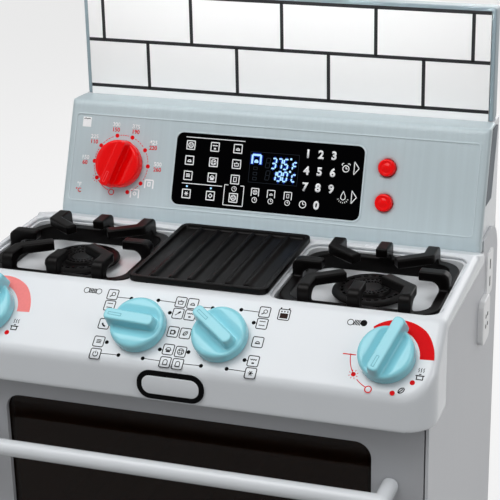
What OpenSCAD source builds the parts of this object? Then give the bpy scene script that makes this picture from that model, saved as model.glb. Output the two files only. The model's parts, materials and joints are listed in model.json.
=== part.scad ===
// Freestanding toy stove with an oven, a control fascia, a burner deck and a clock console.
// +X is the stove's right as seen from the front, +Y is the back, +Z is up.
// The origin is on the floor, at the centre of the body's footprint. Sizes are in millimetres.

/* [Body] */
// Width over the side panels
body_w = 300; // [260:1:380]
// Depth over the side panels
body_d = 210; // [200:1:240]
// Height of the side panels' rear top edge
body_h = 304.2; // [290:0.1:330]
// Thickness of the side panels
side_t = 1.8; // [1.4:0.1:2]
// Radius of the side panels' rear top corner
side_corner_r = 25; // [10:1:40]
// Thickness of the flat moulded panels
panel_t = 3; // [2:0.1:4]
// Clearance between neighbouring casings
fit_gap = 0.2; // [0.1:0.05:0.4]
// Thickness of the base tray's floor
base_t = 4; // [3:0.5:6]
// Height of the base tray's upstand
base_wall_h = 16; // [12:1:24]
// Depth of the pockets for the rubber pads
pad_t = 2; // [1:0.5:3]
// Radius of the rubber pads
pad_r = 11; // [8:0.5:16]
// Distance of a pad's centre from the corner of the base
pad_inset = 20; // [16:1:40]

/* [Deck] */
// Rise of the deck plane over the side panels' rear top edge, at the footprint's centre
deck_rise = 2.7; // [1:0.1:6]
// Rise of the deck towards the back, in degrees
deck_slope = 2.86; // [0:0.1:5]
// Overhang of the deck shell past each side panel
deck_over = 4; // [3:0.5:8]
// Wall of the deck shell
deck_wall = 2.5; // [1.8:0.1:3.2]
// Depth of the deck's side skirt
skirt_h = 12; // [9:0.5:16]
// Radius along the deck's side edges
deck_edge_r = 4.5; // [2:0.5:6]
// Radius of the deck's front corners, seen from above
deck_corner_r = 19; // [10:1:24]
// Radius of the deck's back corners, seen from above
deck_back_r = 9; // [4:1:14]
// Length of the deck's fall to the console, from front to back
crown_run = 26; // [20:0.5:30]
// Distance of the burner wells behind the body's front
well_set = 27.6; // [24:0.1:34]
// Border between the wells and where the deck starts to fall
well_rear = 4.8; // [3:0.1:12]
// Inner edge of a well, from the centre plane
well_inner_x = 44.8; // [40:0.1:55]
// Border between a well and the deck's side
well_border = 6; // [5:0.5:12]
// Depth of the wells
well_depth = 13; // [9:0.5:16]
// Corner radius of the wells
well_r = 9; // [5:0.5:14]
// Wall of the burner trays
tray_wall = 1.2; // [0.8:0.1:1.8]
// Width of the burner trays' flange under the deck
tray_flange = 2; // [1:0.5:3]
// Step from the edge of a well in to its tray's wall
tray_inset = 1.6; // [1.5:0.1:3]

/* [Fascia] */
// Distance of the fascia's top edge behind the body's front
fascia_set = 21.9; // [15:0.1:25]
// Drop from the deck plane to the fascia's top edge
fascia_drop = 0.8; // [0.4:0.1:2]
// Width of the bevel between the deck and the fascia
fascia_bevel = 3; // [1:0.5:6]
// Lean of the fascia back from upright, in degrees
fascia_lean = 48.1; // [35:0.5:60]
// Length of the fascia down its slope
fascia_len = 48.5; // [44:0.5:56]
// Height of the upright band below the fascia
band_h = 22; // [14:0.5:30]
// Length of the shell's deep front block, from its front back
block_d = 41; // [30:1:60]

/* [Fascia knobs] */
// Distance of the knob axes below the fascia's top edge
knob_t = 25.3; // [22:0.1:28]
// Distance of the inner knobs from the centre plane
knob_inner_x = 25.5; // [22:0.5:34]
// Distance of the outer knobs from the deck's side
knob_outer_in = 29.3; // [27:0.1:50]
// Radius of the knob disc
knob_r = 16.5; // [14:0.5:19]
// Height of the knob disc above the fascia
knob_disc_h = 9; // [5:0.5:12]
// Height of the knob's grip above the fascia
knob_grip_h = 14.5; // [10:0.5:20]
// Width of the knob's grip
knob_grip_w = 8; // [6:0.5:12]
// Reach of the oven knobs' grip from the axis, at its marked end
knob_reach = 18.5; // [15:0.5:22]
// Reach of the oven knobs' grip from the axis, at its plain end
knob_tail = 12.5; // [8:0.5:20]
// Reach of the burner knobs' grip from the axis, at its marked end
burner_reach = 15.5; // [12:0.1:20]
// Reach of the burner knobs' grip from the axis, at its plain end
burner_tail = 20; // [12:0.5:22]
// Radius of the knob stems
stem_r = 5; // [3:0.5:6]
// Radial running clearance of the stems
stem_gap = 0.08; // [0.02:0.01:0.1]
// Length of the bushes behind the panel
bush_len = 6; // [4:0.5:9]
// Wall of the bushes
bush_wall = 3.5; // [2:0.5:5]
// Gap between a moving knob or button and the panel behind it
lift_gap = 0.4; // [0.2:0.1:0.8]
// Turn of the left burner knob at rest, clockwise from straight up, in degrees
burner_turn_left = -162; // [-180:1:180]
// Turn of the right burner knob at rest, clockwise from straight up, in degrees
burner_turn_right = -162; // [-180:1:180]
// Turn of the left oven knob at rest, clockwise from straight up, in degrees
oven_turn_left = -87; // [-90:1:90]
// Turn of the right oven knob at rest, clockwise from straight up, in degrees
oven_turn_right = -55; // [-90:1:90]

/* [Grates and griddle] */
// Height of the grate fingers' top above the deck plane
grate_top = 8; // [5:0.5:12]
// Height of the grate ring's top below the deck plane
ring_drop = 3; // [1:0.5:5]
// Width of the grate ring's bars
ring_bar = 6.5; // [4:0.5:8]
// Outer corner radius of the grate ring
ring_r = 16; // [8:0.5:24]
// Width of the grate fingers
finger_w = 7.5; // [5:0.5:9]
// Thickness of the grate fingers
finger_t = 6; // [4:0.5:8]
// Gap between a grate and its tray's wall
grate_gap = 0.8; // [0.5:0.1:3]
// Radius of the bends in the grate fingers
arch_r = 5; // [2:0.5:6]
// Length of the straight grate fingers
finger_len = 19; // [12:0.5:22]
// Distance of the corner fingers from the grate's centre lines
finger_x = 30.5; // [24:0.5:34]
// Distance of a corner finger's bend from the grate's centre line
bend_y = 24.5; // [20:0.5:28]
// Distance of a corner finger's tip from the grate's centre lines
tip_xy = 12.5; // [10:0.5:16]
// Radius of the burner caps
cap_r = 24; // [16:0.5:26]
// Thickness of the burner caps
cap_t = 2.5; // [2:0.5:4]
// Radius of the burner heads
head_r = 17; // [12:0.5:19]
// Height of the burner heads
head_h = 3; // [2:0.5:5]
// Gap between the griddle and the burner wells beside it
griddle_gap = 0.3; // [0.2:0.1:3]
// Reach of the griddle past the wells, at its front and its back
griddle_over = 1.2; // [-4:0.1:1.6]
// Height of the griddle's rim
griddle_h = 4; // [3:0.5:7]
// Thickness of the griddle's rim
griddle_rim = 3.2; // [2:0.1:5]
// Pitch of the griddle's ridges
ridge_pitch = 12; // [9:0.5:13]
// Number of ridges on the griddle
ridge_count = 6; // [3:1:8]

/* [Console] */
// Distance of the crease below the console in front of the body's back
crease_set = 64.4; // [58:0.1:68]
// Height of the crease above the console's foot
crease_h = 7.6; // [4:0.1:12]
// Lean of the console's face back from upright, in degrees
console_lean = 20.2; // [10:0.5:28]
// Length of the console's face up its slope
console_len = 68.3; // [60:0.1:80]
// Distance of the console's sides inside the side panels
console_in = 0.5; // [0:0.1:4]
// Wall of the console
console_wall = 2.5; // [1.8:0.1:3.2]
// Depth of the console's side returns
console_return = 10; // [6:0.5:12]
// Radius of the console's front edges
console_r = 4; // [2:0.5:6]
// Depth of the ledge behind the console's top edge
ledge_d = 18; // [10:0.5:24]
// Width of the display lens
lens_w = 134; // [100:1:150]
// Height of the display lens
lens_h = 49.6; // [40:0.1:54]
// Height of the display lens's centre above the crease
lens_t = 30.5; // [28:0.1:36]
// Thickness of the display lens
lens_thick = 1.6; // [1:0.1:2]
// Corner radius of the display lens
lens_r = 5; // [2:0.5:8]
// Distance of the timer from the console's side
timer_in = 42.5; // [30:0.5:46]
// Height of the timer knob above the crease
timer_t = 29.7; // [26:0.1:36]
// Radius of the timer knob
timer_r = 16.6; // [12:0.1:20]
// Height of the timer knob's disc
timer_disc_h = 8.5; // [5:0.5:12]
// Height of the timer knob's grip
timer_grip_h = 15; // [10:0.5:20]
// Reach of the timer knob's grip from the axis, at its marked end
timer_reach = 17; // [14:0.5:21]
// Reach of the timer knob's grip from the axis, at its plain end
timer_tail = 16.5; // [10:0.5:20]
// Turn of the timer knob at rest, clockwise from straight up, in degrees
timer_turn = -160; // [-180:1:180]
// Distance of the buttons from the side of the lens
button_out = 16; // [12:0.5:30]
// Height of the lower button above the crease
button_low_t = 19.2; // [12:0.1:22]
// Height of the upper button above the crease
button_high_t = 42.4; // [36:0.1:50]
// Radius of the buttons
button_r = 5.8; // [5:0.1:8]
// Height of the buttons above the console
button_h = 3.5; // [2.5:0.1:6]
// Travel of the buttons
button_travel = 1.8; // [1:0.1:2.5]

/* [Backsplash] */
// Height of the backsplash above the console's ledge
splash_h = 76; // [40:1:120]
// Depth of the backsplash frame
splash_d = 14; // [10:0.5:15]
// Distance of the backsplash's sides inside the side panels
splash_in = 3; // [0:0.5:10]
// Width of the backsplash frame's rim
splash_rim = 3; // [2:0.5:6]
// Thickness of the tile panel
tile_t = 5; // [3:0.5:8]
// Width of a tile
tile_w = 66.1; // [40:0.1:90]
// Height of a tile
tile_h = 33; // [20:0.5:66]
// Height of the first joint above the ledge
tile_first = 6.4; // [3:0.1:30]
// Width of the joints between tiles
joint_w = 2; // [1:0.1:4]
// Depth of the joints between tiles
joint_depth = 0.6; // [0.3:0.1:1.2]

/* [Oven] */
// Height of the door hinge above the floor
hinge_z = 61; // [50:0.5:80]
// Thickness of the door
door_t = 14; // [12:0.5:18]
// Distance of the door's hinge axis behind its front
hinge_in = 4; // [4:0.5:7]
// Gap between the door and the band above it
door_drop = 3.6; // [2:0.1:10]
// Gap between the door and the side panels
door_gap = 0.8; // [0.4:0.1:1.5]
// Distance of the window from the body's side
window_in = 33.5; // [28:0.5:90]
// Distance of the window below the door's top
window_drop = 12.2; // [10:0.1:40]
// Height of the window's bottom edge above the floor
window_low = 92; // [80:1:120]
// Corner radius of the window
window_r = 10; // [4:0.5:20]
// Thickness of the window pane
pane_t = 2; // [1:0.1:3]
// Thickness of the door's rear frame
door_back_t = 4; // [3:0.5:6]
// Radius of the handle bar
handle_r = 5; // [3:0.5:7]
// Clear space between the handle bar and the door
handle_gap = 16; // [12:0.5:24]
// Distance of the handle below the door's top
handle_drop = 37; // [24:1:90]
// Distance of the handle's ends from the body's side
handle_in = 22; // [18:1:70]
// Radius of the hinge pins
pin_r = 2.5; // [1.5:0.1:3.5]
// Length of the hinge pins inside the door
pin_len = 8; // [5:0.5:14]
// Radial running clearance of the hinge pins
pin_gap = 0.08; // [0.02:0.01:0.1]
// Distance of the oven's cavity from the body's side
cavity_in = 32.5; // [30:0.5:70]
// Distance of the cavity's ceiling below the door's top
cavity_drop = 6.5; // [5:0.5:40]
// Room between the back panel and the cavity's back
cavity_rear = 46.6; // [44:0.1:90]
// Height of the cavity's floor above the floor
cavity_z = 69.5; // [64:0.5:74]
// Wall of the oven liner
liner_wall = 2.5; // [1.5:0.1:3]
// Height of the rack ledges above the cavity's floor
rack_ledge_z = 56; // [30:1:110]
// Width of the rack ledges
rack_ledge_w = 6; // [4:0.5:9]
// Radius of the rack's rods
rod_r = 1.6; // [1:0.1:2.4]
// Distance of the rack behind the cavity's front
rack_set = 43; // [36:1:70]
// Number of the rack's bars
rack_bars = 13; // [7:1:17]

/* [Power and sound] */
// Thickness of the battery door
cell_door_t = 2; // [1.4:0.1:2]
// Width of the battery door
cell_door_w = 74; // [72:1:110]
// Height of the battery door
cell_door_h = 64; // [62:1:80]
// Height of the battery door's centre above the floor
cell_door_z = 170; // [100:1:200]
// Depth of the battery box
cell_box_d = 22; // [20:0.5:28]
// Radius of a battery cell
cell_r = 7.2; // [5:0.1:8]
// Length of a battery cell
cell_len = 50.5; // [44:0.5:52]
// Number of battery cells
cell_count = 3; // [2:1:3]
// Travel of the power switch
switch_travel = 5; // [3:0.5:7]
// Radius of the speaker
speaker_r = 20; // [14:0.5:24]
// Distance of the pod in front of the body's back
pod_set = 56; // [50:1:60]
// Distance of the pod below the side panels' rear top edge
pod_drop = 54.2; // [50:0.1:70]
// Width of the speaker pod
pod_w = 23; // [18:1:24]
// Height of the speaker pod
pod_h = 31; // [24:1:40]
// Depth of the speaker pod
pod_t = 4; // [3:0.5:6]
// Distance of the vent plate in front of the body's back
vent_set = 33; // [25:1:36]
// Distance of the vent plate below the side panels' rear top edge
vent_drop = 29.2; // [26:0.1:50]
// Width of the vent plate
vent_w = 21; // [14:1:24]
// Height of the vent plate
vent_h = 31; // [20:1:40]
// Thickness of the vent plate
vent_t = 1.2; // [0.8:0.1:2]
// Radius of the screws' heads
screw_r = 2.8; // [2:0.1:3]

/* [Hidden] */
$fn = 64;
cut = 1;                                        // how far a cut runs past what it cuts
run_gap = 0.08;                                 // radial clearance of the sliding buttons
flange_t = 1.2;                                 // flange that holds a button in
plunger_len = 2;
side_in = body_w / 2 - side_t;                  // inner face of the side panels
casing_x = side_in - fit_gap;                   // half width of what fits between them
front_y = -body_d / 2;
back_y = body_d / 2;
inner_back_y = back_y - panel_t;

// The deck plane slopes up to the back. Its own frame has its origin above the part's origin.
function deck_at(y) = deck_z + y * tan(deck_slope);
deck_w = body_w + 2 * deck_over;
deck_side = deck_w / 2;
deck_z = body_h + deck_rise;                     // the deck plane above the floor
skirt_z = deck_z - skirt_h;
shoulder_z = skirt_z + 1.6;                     // top of the side panels inside the skirt
crease_y = back_y - crease_set;
deck_crown_y = crease_y - crown_run;             // where the deck starts to fall to the console
well_front = -front_y - well_set;
well_d = well_front + deck_crown_y - well_rear;
well_w = deck_side - well_border - well_inner_x;
well_x = well_inner_x + well_w / 2;
well_y = -well_front + well_d / 2;
under_drop = deck_wall / cos(deck_slope);       // drop from the deck plane to its underside

fascia_y = front_y + fascia_set;
fascia_z = deck_at(fascia_y) - fascia_drop;
lip_y = fascia_y - fascia_len * sin(fascia_lean);
band_z = fascia_z - fascia_len * cos(fascia_lean);
lip_z = band_z - band_h;
block_y = lip_y + block_d;
// A point on the inner face of the fascia, and the height of that face at a given depth.
fascia_in_y = fascia_y + deck_wall * cos(fascia_lean);
fascia_in_z = fascia_z - deck_wall * sin(fascia_lean);
function fascia_in_at(y) = fascia_in_z + (y - fascia_in_y) / tan(fascia_lean);
rise_front = 1 / tan(fascia_lean);
rise_deck = tan(deck_slope);
under_y = (deck_z - under_drop - fascia_in_z + fascia_in_y * rise_front) / (rise_front - rise_deck);

console_foot = shoulder_z + 0.4;
deck_foot = body_h - 4.2;                       // where the deck meets the console
crease_z = deck_foot + crease_h;
console_side = body_w / 2 - console_in;
console_w = 2 * console_side;
timer_x = console_side - timer_in;
button_x = lens_w / 2 + button_out;
knob_outer_x = deck_side - knob_outer_in;
griddle_w = 2 * (well_inner_x - griddle_gap);
griddle_d = well_d + 2 * griddle_over;
ledge_z = crease_z + console_len * cos(console_lean) + console_r;
crown_z = ledge_z - console_r;                  // centre of the console's top rounding
crown_y = crease_y + (crown_z - crease_z) * tan(console_lean) + console_r / cos(console_lean);
splash_y = crown_y + ledge_d;
housing_y = crease_y + console_return + fit_gap;
step_y = housing_y + 0.3;                       // where the side panels' top edge steps up
housing_low = body_h - side_corner_r - 4;       // foot of the console's rear housing
trim_w = 20;                                    // depth of the console's side trims
trim_t = 1.2;
pad_post_t = 23;                                // distance of the pad board's posts from its centre
board_t = 1.6;
board_gap = 3;                                  // length of the posts that hold the boards
board_w = lens_w + 6;
board_h = lens_h - 4;
post_r = 2.5;
pad_board_z = -console_wall - lift_gap - flange_t - plunger_len - button_travel - 2.2;

door_back_y = front_y + door_t;
door_top = lip_z - door_drop;
window_top = door_top - window_drop;
window_w = body_w - 2 * window_in;
handle_z = door_top - handle_drop;
handle_w = body_w - 2 * handle_in;
door_split_y = door_back_y - door_back_t;
door_side = side_in - door_gap;
hinge_y = front_y + hinge_in;
hinge_r = door_t - hinge_in;
window_z = (window_top + window_low) / 2;
window_h = window_top - window_low;
pane_y = front_y + panel_t;
pane_lap = 4;                                   // overlap of the pane behind the window's edge
door_wall = 3;
frame_y = door_back_y + 2 * fit_gap;            // front of the face frame
liner_y = frame_y + panel_t;
cavity_top = door_top - cavity_drop;
cavity_h = cavity_top - cavity_z;
cavity_w = body_w - 2 * cavity_in;
cavity_mid = (cavity_z + cavity_top) / 2;
liner_back_y = inner_back_y - cavity_rear;
cavity_d = liner_back_y - liner_y;
liner_flange = 7;
kick_top = hinge_z - hinge_r - 0.5;
frame_low = kick_top - 6;
frame_top = lip_z + 14;
handle_y = front_y - handle_gap - handle_r;
rail_z = cavity_z + rack_ledge_z;
rack_z = rail_z + rod_r + 0.3;
rack_x = cavity_w / 2 - 2;
rack_y = liner_y + rack_set;
rack_d = liner_back_y - 2 - rack_y;
lamp_x = cavity_w / 2 - 47.5;
lamp_z = cavity_top - 26;
lamp_r = 12;

bush_r = stem_r + stem_gap + bush_wall;
splash_side = body_w / 2 - splash_in;
splash_w = 2 * splash_side;
tongue_x = splash_side - 57;
pod_y = back_y - pod_set;
pod_z = body_h - pod_drop;
vent_y = back_y - vent_set;
vent_z = body_h - vent_drop;
tile_side = splash_side - splash_rim;
tile_top = ledge_z + splash_h - splash_rim;
box_w = cell_len + 8;                           // inside width of the battery box
cell_pitch = 2 * cell_r + 2;
box_h = cell_count * cell_pitch + 2;
box_wall = 2;
cell_y = inner_back_y - cell_box_d + box_wall + cell_r + 0.5;
box_flange = 5;
contact_t = 0.8;
switch_x = 62;
switch_z = cell_door_z + 16;
switch_w = 7;
switch_h = 9;
shoe_t = 1.5;
pcb_y = inner_back_y - 8;
pcb_w = 56;
pcb_h = 30;
screw_len = 7;
block_w = 9;                                    // blocks that take the screws
back_screws_z = [40, body_h / 2 + 2, body_h - 36];
side_screws_y = [front_y + 35, back_y - 45];
side_screw_z = 10;
door_screws_x = [15.4 - door_side, door_side - 15.4];
door_screws_z = [84, door_top / 2 + 38, door_top - 8];
head_t = 1.6;                                   // thickness of a screw's head

module round_rect(w, h, r) {
  square([w - 2 * r, h], center = true);
  square([w, h - 2 * r], center = true);
  for (x = [-1, 1], y = [-1, 1])
    translate([x * (w / 2 - r), y * (h / 2 - r)]) circle(r);
}

// A plate in the XZ plane, t thick, with its front face at y.
module upright(y, t) {
  translate([0, y + t, 0]) rotate([90, 0, 0]) linear_extrude(t) children();
}

// A prism along X, drawn in the YZ plane, w long and centred on the middle plane.
module lengthwise(w) {
  translate([-w / 2, 0, 0]) rotate([90, 0, 90]) linear_extrude(w) children();
}

// A plate in the YZ plane on the right side, t thick, with its inner face at x.
module sideways(x, t) {
  translate([x, 0, 0]) rotate([90, 0, 90]) linear_extrude(t) children();
}

module both_sides() {
  children();
  mirror([1, 0, 0]) children();
}

module on_deck() {
  translate([0, 0, deck_z]) rotate([deck_slope, 0, 0]) children();
}

// The fascia's frame: Y runs up the slope from its top edge, and Z points out of it.
module on_fascia(x = 0, t = 0) {
  translate([0, fascia_y, fascia_z]) rotate([90 - fascia_lean, 0, 0]) translate([x, -t, 0]) children();
}

// The console's frame: Y runs up the face from the crease, and Z points out of it.
module on_console(x = 0, t = 0) {
  translate([0, crease_y, crease_z]) rotate([90 - console_lean, 0, 0]) translate([x, t, 0]) children();
}

// A screw that points along -Z, with the seat of its head at the origin.
module screw(len) {
  difference() {
    union() {
      cylinder(h = head_t, r = screw_r);
      translate([0, 0, -len]) cylinder(h = len + 0.5, r = screw_r / 2);
    }
    for (turn = [0, 90])
      rotate(turn) translate([-screw_r * 0.6, -0.4, head_t - 0.8]) cube([screw_r * 1.2, 0.8, 1]);
  }
}

// The hole that a screw goes into.
module screw_hole(len) {
  translate([0, 0, -len]) cylinder(h = len + cut, r = screw_r / 2);
}

// ---- body ----

module side_outline() {
  front_top = fascia_in_at(front_y) - 1.5;
  slope_y = front_y + (shoulder_z - front_top) * tan(fascia_lean);
  difference() {
    polygon([
      [front_y, 0], [back_y, 0], [back_y, body_h], [step_y, body_h],
      [step_y, shoulder_z], [slope_y, shoulder_z], [front_y, front_top]
    ]);
    translate([back_y - side_corner_r, body_h - side_corner_r]) difference() {
      square(side_corner_r + cut);
      circle(side_corner_r);
    }
  }
}

module right_side_plate() {
  difference() {
    union() {
      sideways(side_in, side_t) side_outline();
      for (z = back_screws_z)
        translate([side_in - block_w, inner_back_y - 10, z - block_w / 2]) cube([block_w, 10, block_w]);
    }
    translate([side_in - cut, hinge_y, hinge_z]) rotate([0, 90, 0]) cylinder(h = side_t + 2 * cut, r = pin_r);
    for (y = side_screws_y)
      translate([body_w / 2, y, side_screw_z]) rotate([0, 90, 0]) screw_hole(side_t + cut);
    for (z = back_screws_z)
      translate([side_in - block_w / 2, inner_back_y, z]) rotate([-90, 0, 0]) screw_hole(screw_len);
  }
}

module side_panel_left() {
  color("#B4B6BA") mirror([1, 0, 0]) right_side_plate();
}

module side_panel_right() {
  color("#B4B6BA") difference() {
    right_side_plate();
    sideways(side_in - cut, side_t + 2 * cut) {
      translate([pod_y, pod_z]) round_rect(pod_w - 8, pod_h - 8, 4);
      for (z = [-1, 1]) translate([vent_y, vent_z + z * vent_h / 5]) square([8, 9], center = true);
    }
  }
}

module base_tray() {
  wall = 3;
  color("#C3C6CA") difference() {
    union() {
      translate([-casing_x, pane_y, 0]) cube([2 * casing_x, inner_back_y - pane_y, base_t]);
      difference() {
        translate([-casing_x, pane_y, 0]) cube([2 * casing_x, inner_back_y - pane_y, base_wall_h]);
        translate([-casing_x + wall, pane_y + wall, -cut])
          cube([2 * (casing_x - wall), inner_back_y - pane_y - 2 * wall, base_wall_h + 2 * cut]);
      }
      both_sides() for (y = side_screws_y)
        translate([casing_x - block_w, y - block_w / 2, 0]) cube([block_w, block_w, base_wall_h]);
    }
    pad_places() {
      translate([0, 0, -cut]) cylinder(h = pad_t + cut, r = pad_r + fit_gap);
      cylinder(h = base_t + cut, r = pad_r / 3);
    }
    both_sides() for (y = side_screws_y)
      translate([casing_x, y, side_screw_z]) rotate([0, 90, 0]) screw_hole(screw_len);
  }
}

module pad_places() {
  for (x = [-1, 1], y = [front_y + pad_inset, back_y - pad_inset])
    translate([x * (casing_x - pad_inset), y, 0]) children();
}

module rubber_pads() {
  color("#3A3C3F") pad_places() {
    cylinder(h = pad_t, r = pad_r);
    cylinder(h = base_t + 1.5, r = pad_r / 3);
    translate([0, 0, base_t]) cylinder(h = 1.5, r = pad_r / 3 + 0.8);
  }
}

module kick_panel() {
  color("#C9CBCF") {
    upright(front_y, panel_t) translate([-casing_x, 0]) square([2 * casing_x, kick_top]);
    translate([-casing_x + 4, pane_y, base_wall_h + fit_gap])
      cube([2 * casing_x - 8, 4, 3]);
  }
}

module back_panel() {
  color("#C3C6CA") difference() {
    union() {
      upright(inner_back_y, panel_t) translate([-casing_x, 0]) square([2 * casing_x, deck_foot]);
      // Posts for the switch's board
      switch_posts() rotate([90, 0, 0]) cylinder(h = inner_back_y - pcb_y - board_t, r = post_r);
    }
    upright(back_y - cell_door_t, cell_door_t + cut)
      translate([0, cell_door_z]) round_rect(cell_door_w + 2 * fit_gap, cell_door_h + 2 * fit_gap, 4);
    upright(inner_back_y - cut, panel_t + cut) translate([0, cell_door_z]) square([box_w, box_h], center = true);
    battery_screw_places() screw_hole(screw_len);
    upright(inner_back_y - cut, panel_t + 2 * cut)
      translate([switch_x + switch_travel / 2, switch_z])
        square([switch_w + switch_travel + 1, switch_h + 1], center = true);
    both_sides() for (z = back_screws_z)
      translate([side_in - block_w / 2, back_y, z]) rotate([-90, 0, 0]) screw_hole(panel_t + cut);
    for (x = [-1, 1], row = [0 : 5])
      translate([x * 90 - 18, inner_back_y - cut, 226 + row * 8]) cube([36, panel_t + 2 * cut, 3]);
  }
}

module battery_screw_places() {
  for (z = [-1, 1])
    translate([0, back_y, cell_door_z + z * (cell_door_h / 2 - screw_r - 1)]) rotate([-90, 0, 0]) children();
}

module switch_posts() {
  for (x = [-1, 1]) translate([switch_x + switch_travel / 2 + x * 22, inner_back_y, switch_z]) children();
}

// The heads of the back screws stand on the back panel.
module back_screws() {
  color("#8E9398") both_sides() for (z = back_screws_z)
    translate([side_in - block_w / 2, back_y, z]) rotate([-90, 0, 0]) screw(screw_len);
}

module side_screws() {
  color("#8E9398") both_sides() for (y = side_screws_y)
    translate([body_w / 2, y, side_screw_z]) rotate([0, 90, 0]) screw(screw_len);
}

// ---- oven ----

module face_frame() {
  color("#54585D") difference() {
    upright(frame_y, panel_t) translate([-casing_x, frame_low]) square([2 * casing_x, frame_top - frame_low]);
    upright(frame_y - cut, panel_t + 2 * cut) translate([0, cavity_mid]) square([cavity_w, cavity_h], center = true);
  }
}

module oven_liner() {
  color("#3B3E42") difference() {
    union() {
      upright(liner_y, cavity_d + liner_wall) translate([0, cavity_mid])
        square([cavity_w + 2 * liner_wall, cavity_h + 2 * liner_wall], center = true);
      upright(liner_y, liner_wall) translate([0, cavity_mid])
        square([cavity_w + 2 * liner_flange, cavity_h + 2 * liner_flange], center = true);
    }
    difference() {
      upright(liner_y - cut, cavity_d + cut) translate([0, cavity_mid]) square([cavity_w, cavity_h], center = true);
      both_sides() translate([cavity_w / 2 - rack_ledge_w, liner_y + 8, rail_z - 3])
        cube([rack_ledge_w + cut, cavity_d, 3]);
    }
    translate([lamp_x, liner_back_y - cut, lamp_z]) rotate([-90, 0, 0]) cylinder(h = liner_wall + 2 * cut, r = lamp_r - 2);
  }
}

module oven_lamp() {
  color("#F3D9A0") translate([lamp_x, liner_back_y, lamp_z]) rotate([90, 0, 0]) {
    cylinder(h = 3, r = lamp_r);
    translate([0, 0, -liner_wall - 6]) cylinder(h = liner_wall + 6, r = lamp_r - 2);
  }
}

// The rack's bars lie across two thicker rods, which rest on the ledges.
module oven_rack() {
  bar_r = rod_r * 0.8;
  side = rack_x - bar_r - 1;
  color("#9A9EA3") {
    for (i = [0 : rack_bars - 1])
      translate([-side + 2 * side * i / (rack_bars - 1), rack_y, rack_z + rod_r * 0.9])
        rotate([-90, 0, 0]) cylinder(h = rack_d, r = bar_r, $fn = 24);
    for (y = [rack_y + 4, rack_y + rack_d - 4])
      translate([-rack_x, y, rack_z]) rotate([0, 90, 0]) cylinder(h = 2 * rack_x, r = rod_r, $fn = 24);
  }
}

// The door's side view: a slab whose foot is round about the hinge axis.
module door_profile(y0, y1) {
  translate([y0, hinge_z]) square([y1 - y0, door_top - hinge_z]);
  intersection() {
    translate([y0, hinge_z - hinge_r]) square([y1 - y0, hinge_r]);
    translate([hinge_y, hinge_z]) circle(hinge_r);
  }
}

module door_frame() {
  bar_top = window_low - pane_lap - 2;
  color("#A7ADB1") difference() {
    lengthwise(2 * door_side) door_profile(front_y, door_split_y);
    difference() {
      upright(pane_y, door_split_y - pane_y + cut)
        translate([0, (bar_top + door_top - door_wall) / 2])
          square([2 * (door_side - door_wall), door_top - door_wall - bar_top], center = true);
      door_screw_places() rotate([-90, 0, 0]) translate([0, 0, -door_t]) cylinder(h = door_t, r = 4.5);
    }
    upright(front_y - cut, door_t) translate([0, window_z]) round_rect(window_w, window_h, window_r);
    both_sides() translate([door_side - pin_len - 0.5, hinge_y, hinge_z])
      rotate([0, 90, 0]) cylinder(h = pin_len + cut, r = pin_r + pin_gap);
    door_screw_places() rotate([-90, 0, 0]) screw_hole(screw_len);
    both_sides() translate([handle_w / 2, front_y - cut, handle_z])
      rotate([-90, 0, 0]) cylinder(h = panel_t + cut, r = handle_r / 2);
  }
}

module door_screw_places() {
  for (x = door_screws_x, z = door_screws_z) translate([x, door_back_y - head_t, z]) children();
}

module door_back() {
  rim = 3;
  color("#6E747A") difference() {
    union() {
      lengthwise(2 * door_side) door_profile(door_split_y, door_back_y);
      // The rim that clamps the pane
      upright(pane_y + pane_t, door_split_y - pane_y - pane_t) translate([0, window_z]) difference() {
        square([window_w + 2 * pane_lap - 1, window_h + 2 * pane_lap - 1], center = true);
        square([window_w - 2 * rim, window_h - 2 * rim], center = true);
      }
    }
    upright(door_split_y - cut, door_back_t + 2 * cut)
      translate([0, window_z]) square([window_w - 2 * rim, window_h - 2 * rim], center = true);
    door_screw_places() rotate([-90, 0, 0]) {
      screw_hole(screw_len);
      cylinder(h = head_t + cut, r = screw_r + fit_gap);
    }
  }
}

module door_window() {
  color("#5A4034") upright(pane_y, pane_t) translate([0, window_z])
    square([window_w + 2 * pane_lap, window_h + 2 * pane_lap], center = true);
}

module door_handle() {
  color("#E3E5E8") {
    translate([-handle_w / 2, handle_y, handle_z]) rotate([0, 90, 0]) cylinder(h = handle_w, r = handle_r);
    both_sides() translate([handle_w / 2, handle_y, handle_z]) {
      sphere(handle_r);
      rotate([-90, 0, 0]) cylinder(h = front_y - handle_y, r = handle_r);
      rotate([-90, 0, 0]) cylinder(h = front_y - handle_y + panel_t, r = handle_r / 2);
    }
  }
}

module door_screws() {
  color("#8E9398") door_screw_places() rotate([-90, 0, 0]) screw(screw_len);
}

module hinge_pins() {
  color("#B9BEC4") both_sides() translate([0, hinge_y, hinge_z]) rotate([0, 90, 0]) {
    translate([0, 0, door_side - pin_len]) cylinder(h = body_w / 2 - door_side + pin_len, r = pin_r);
    translate([0, 0, body_w / 2]) cylinder(h = 1.5, r = pin_r + 2);
  }
}

// ---- deck ----

// The deck shell's side view, outside and inside.
module deck_outside() {
  polygon([
    [fascia_y, fascia_z], [fascia_y + fascia_bevel, deck_at(fascia_y + fascia_bevel)],
    [deck_crown_y, deck_at(deck_crown_y)], [crease_y, deck_foot], [crease_y, skirt_z],
    [block_y, skirt_z], [block_y, lip_z], [lip_y, lip_z], [lip_y, band_z]
  ]);
}

module deck_inside() {
  low = lip_z - cut;
  polygon([
    [under_y, deck_at(under_y) - under_drop], [deck_crown_y - 0.5, deck_at(deck_crown_y - 0.5) - under_drop],
    [crease_y - deck_wall, deck_foot - deck_wall], [crease_y - deck_wall, low],
    [lip_y + deck_wall, low], [lip_y + deck_wall, fascia_in_at(lip_y + deck_wall)]
  ]);
}

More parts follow.
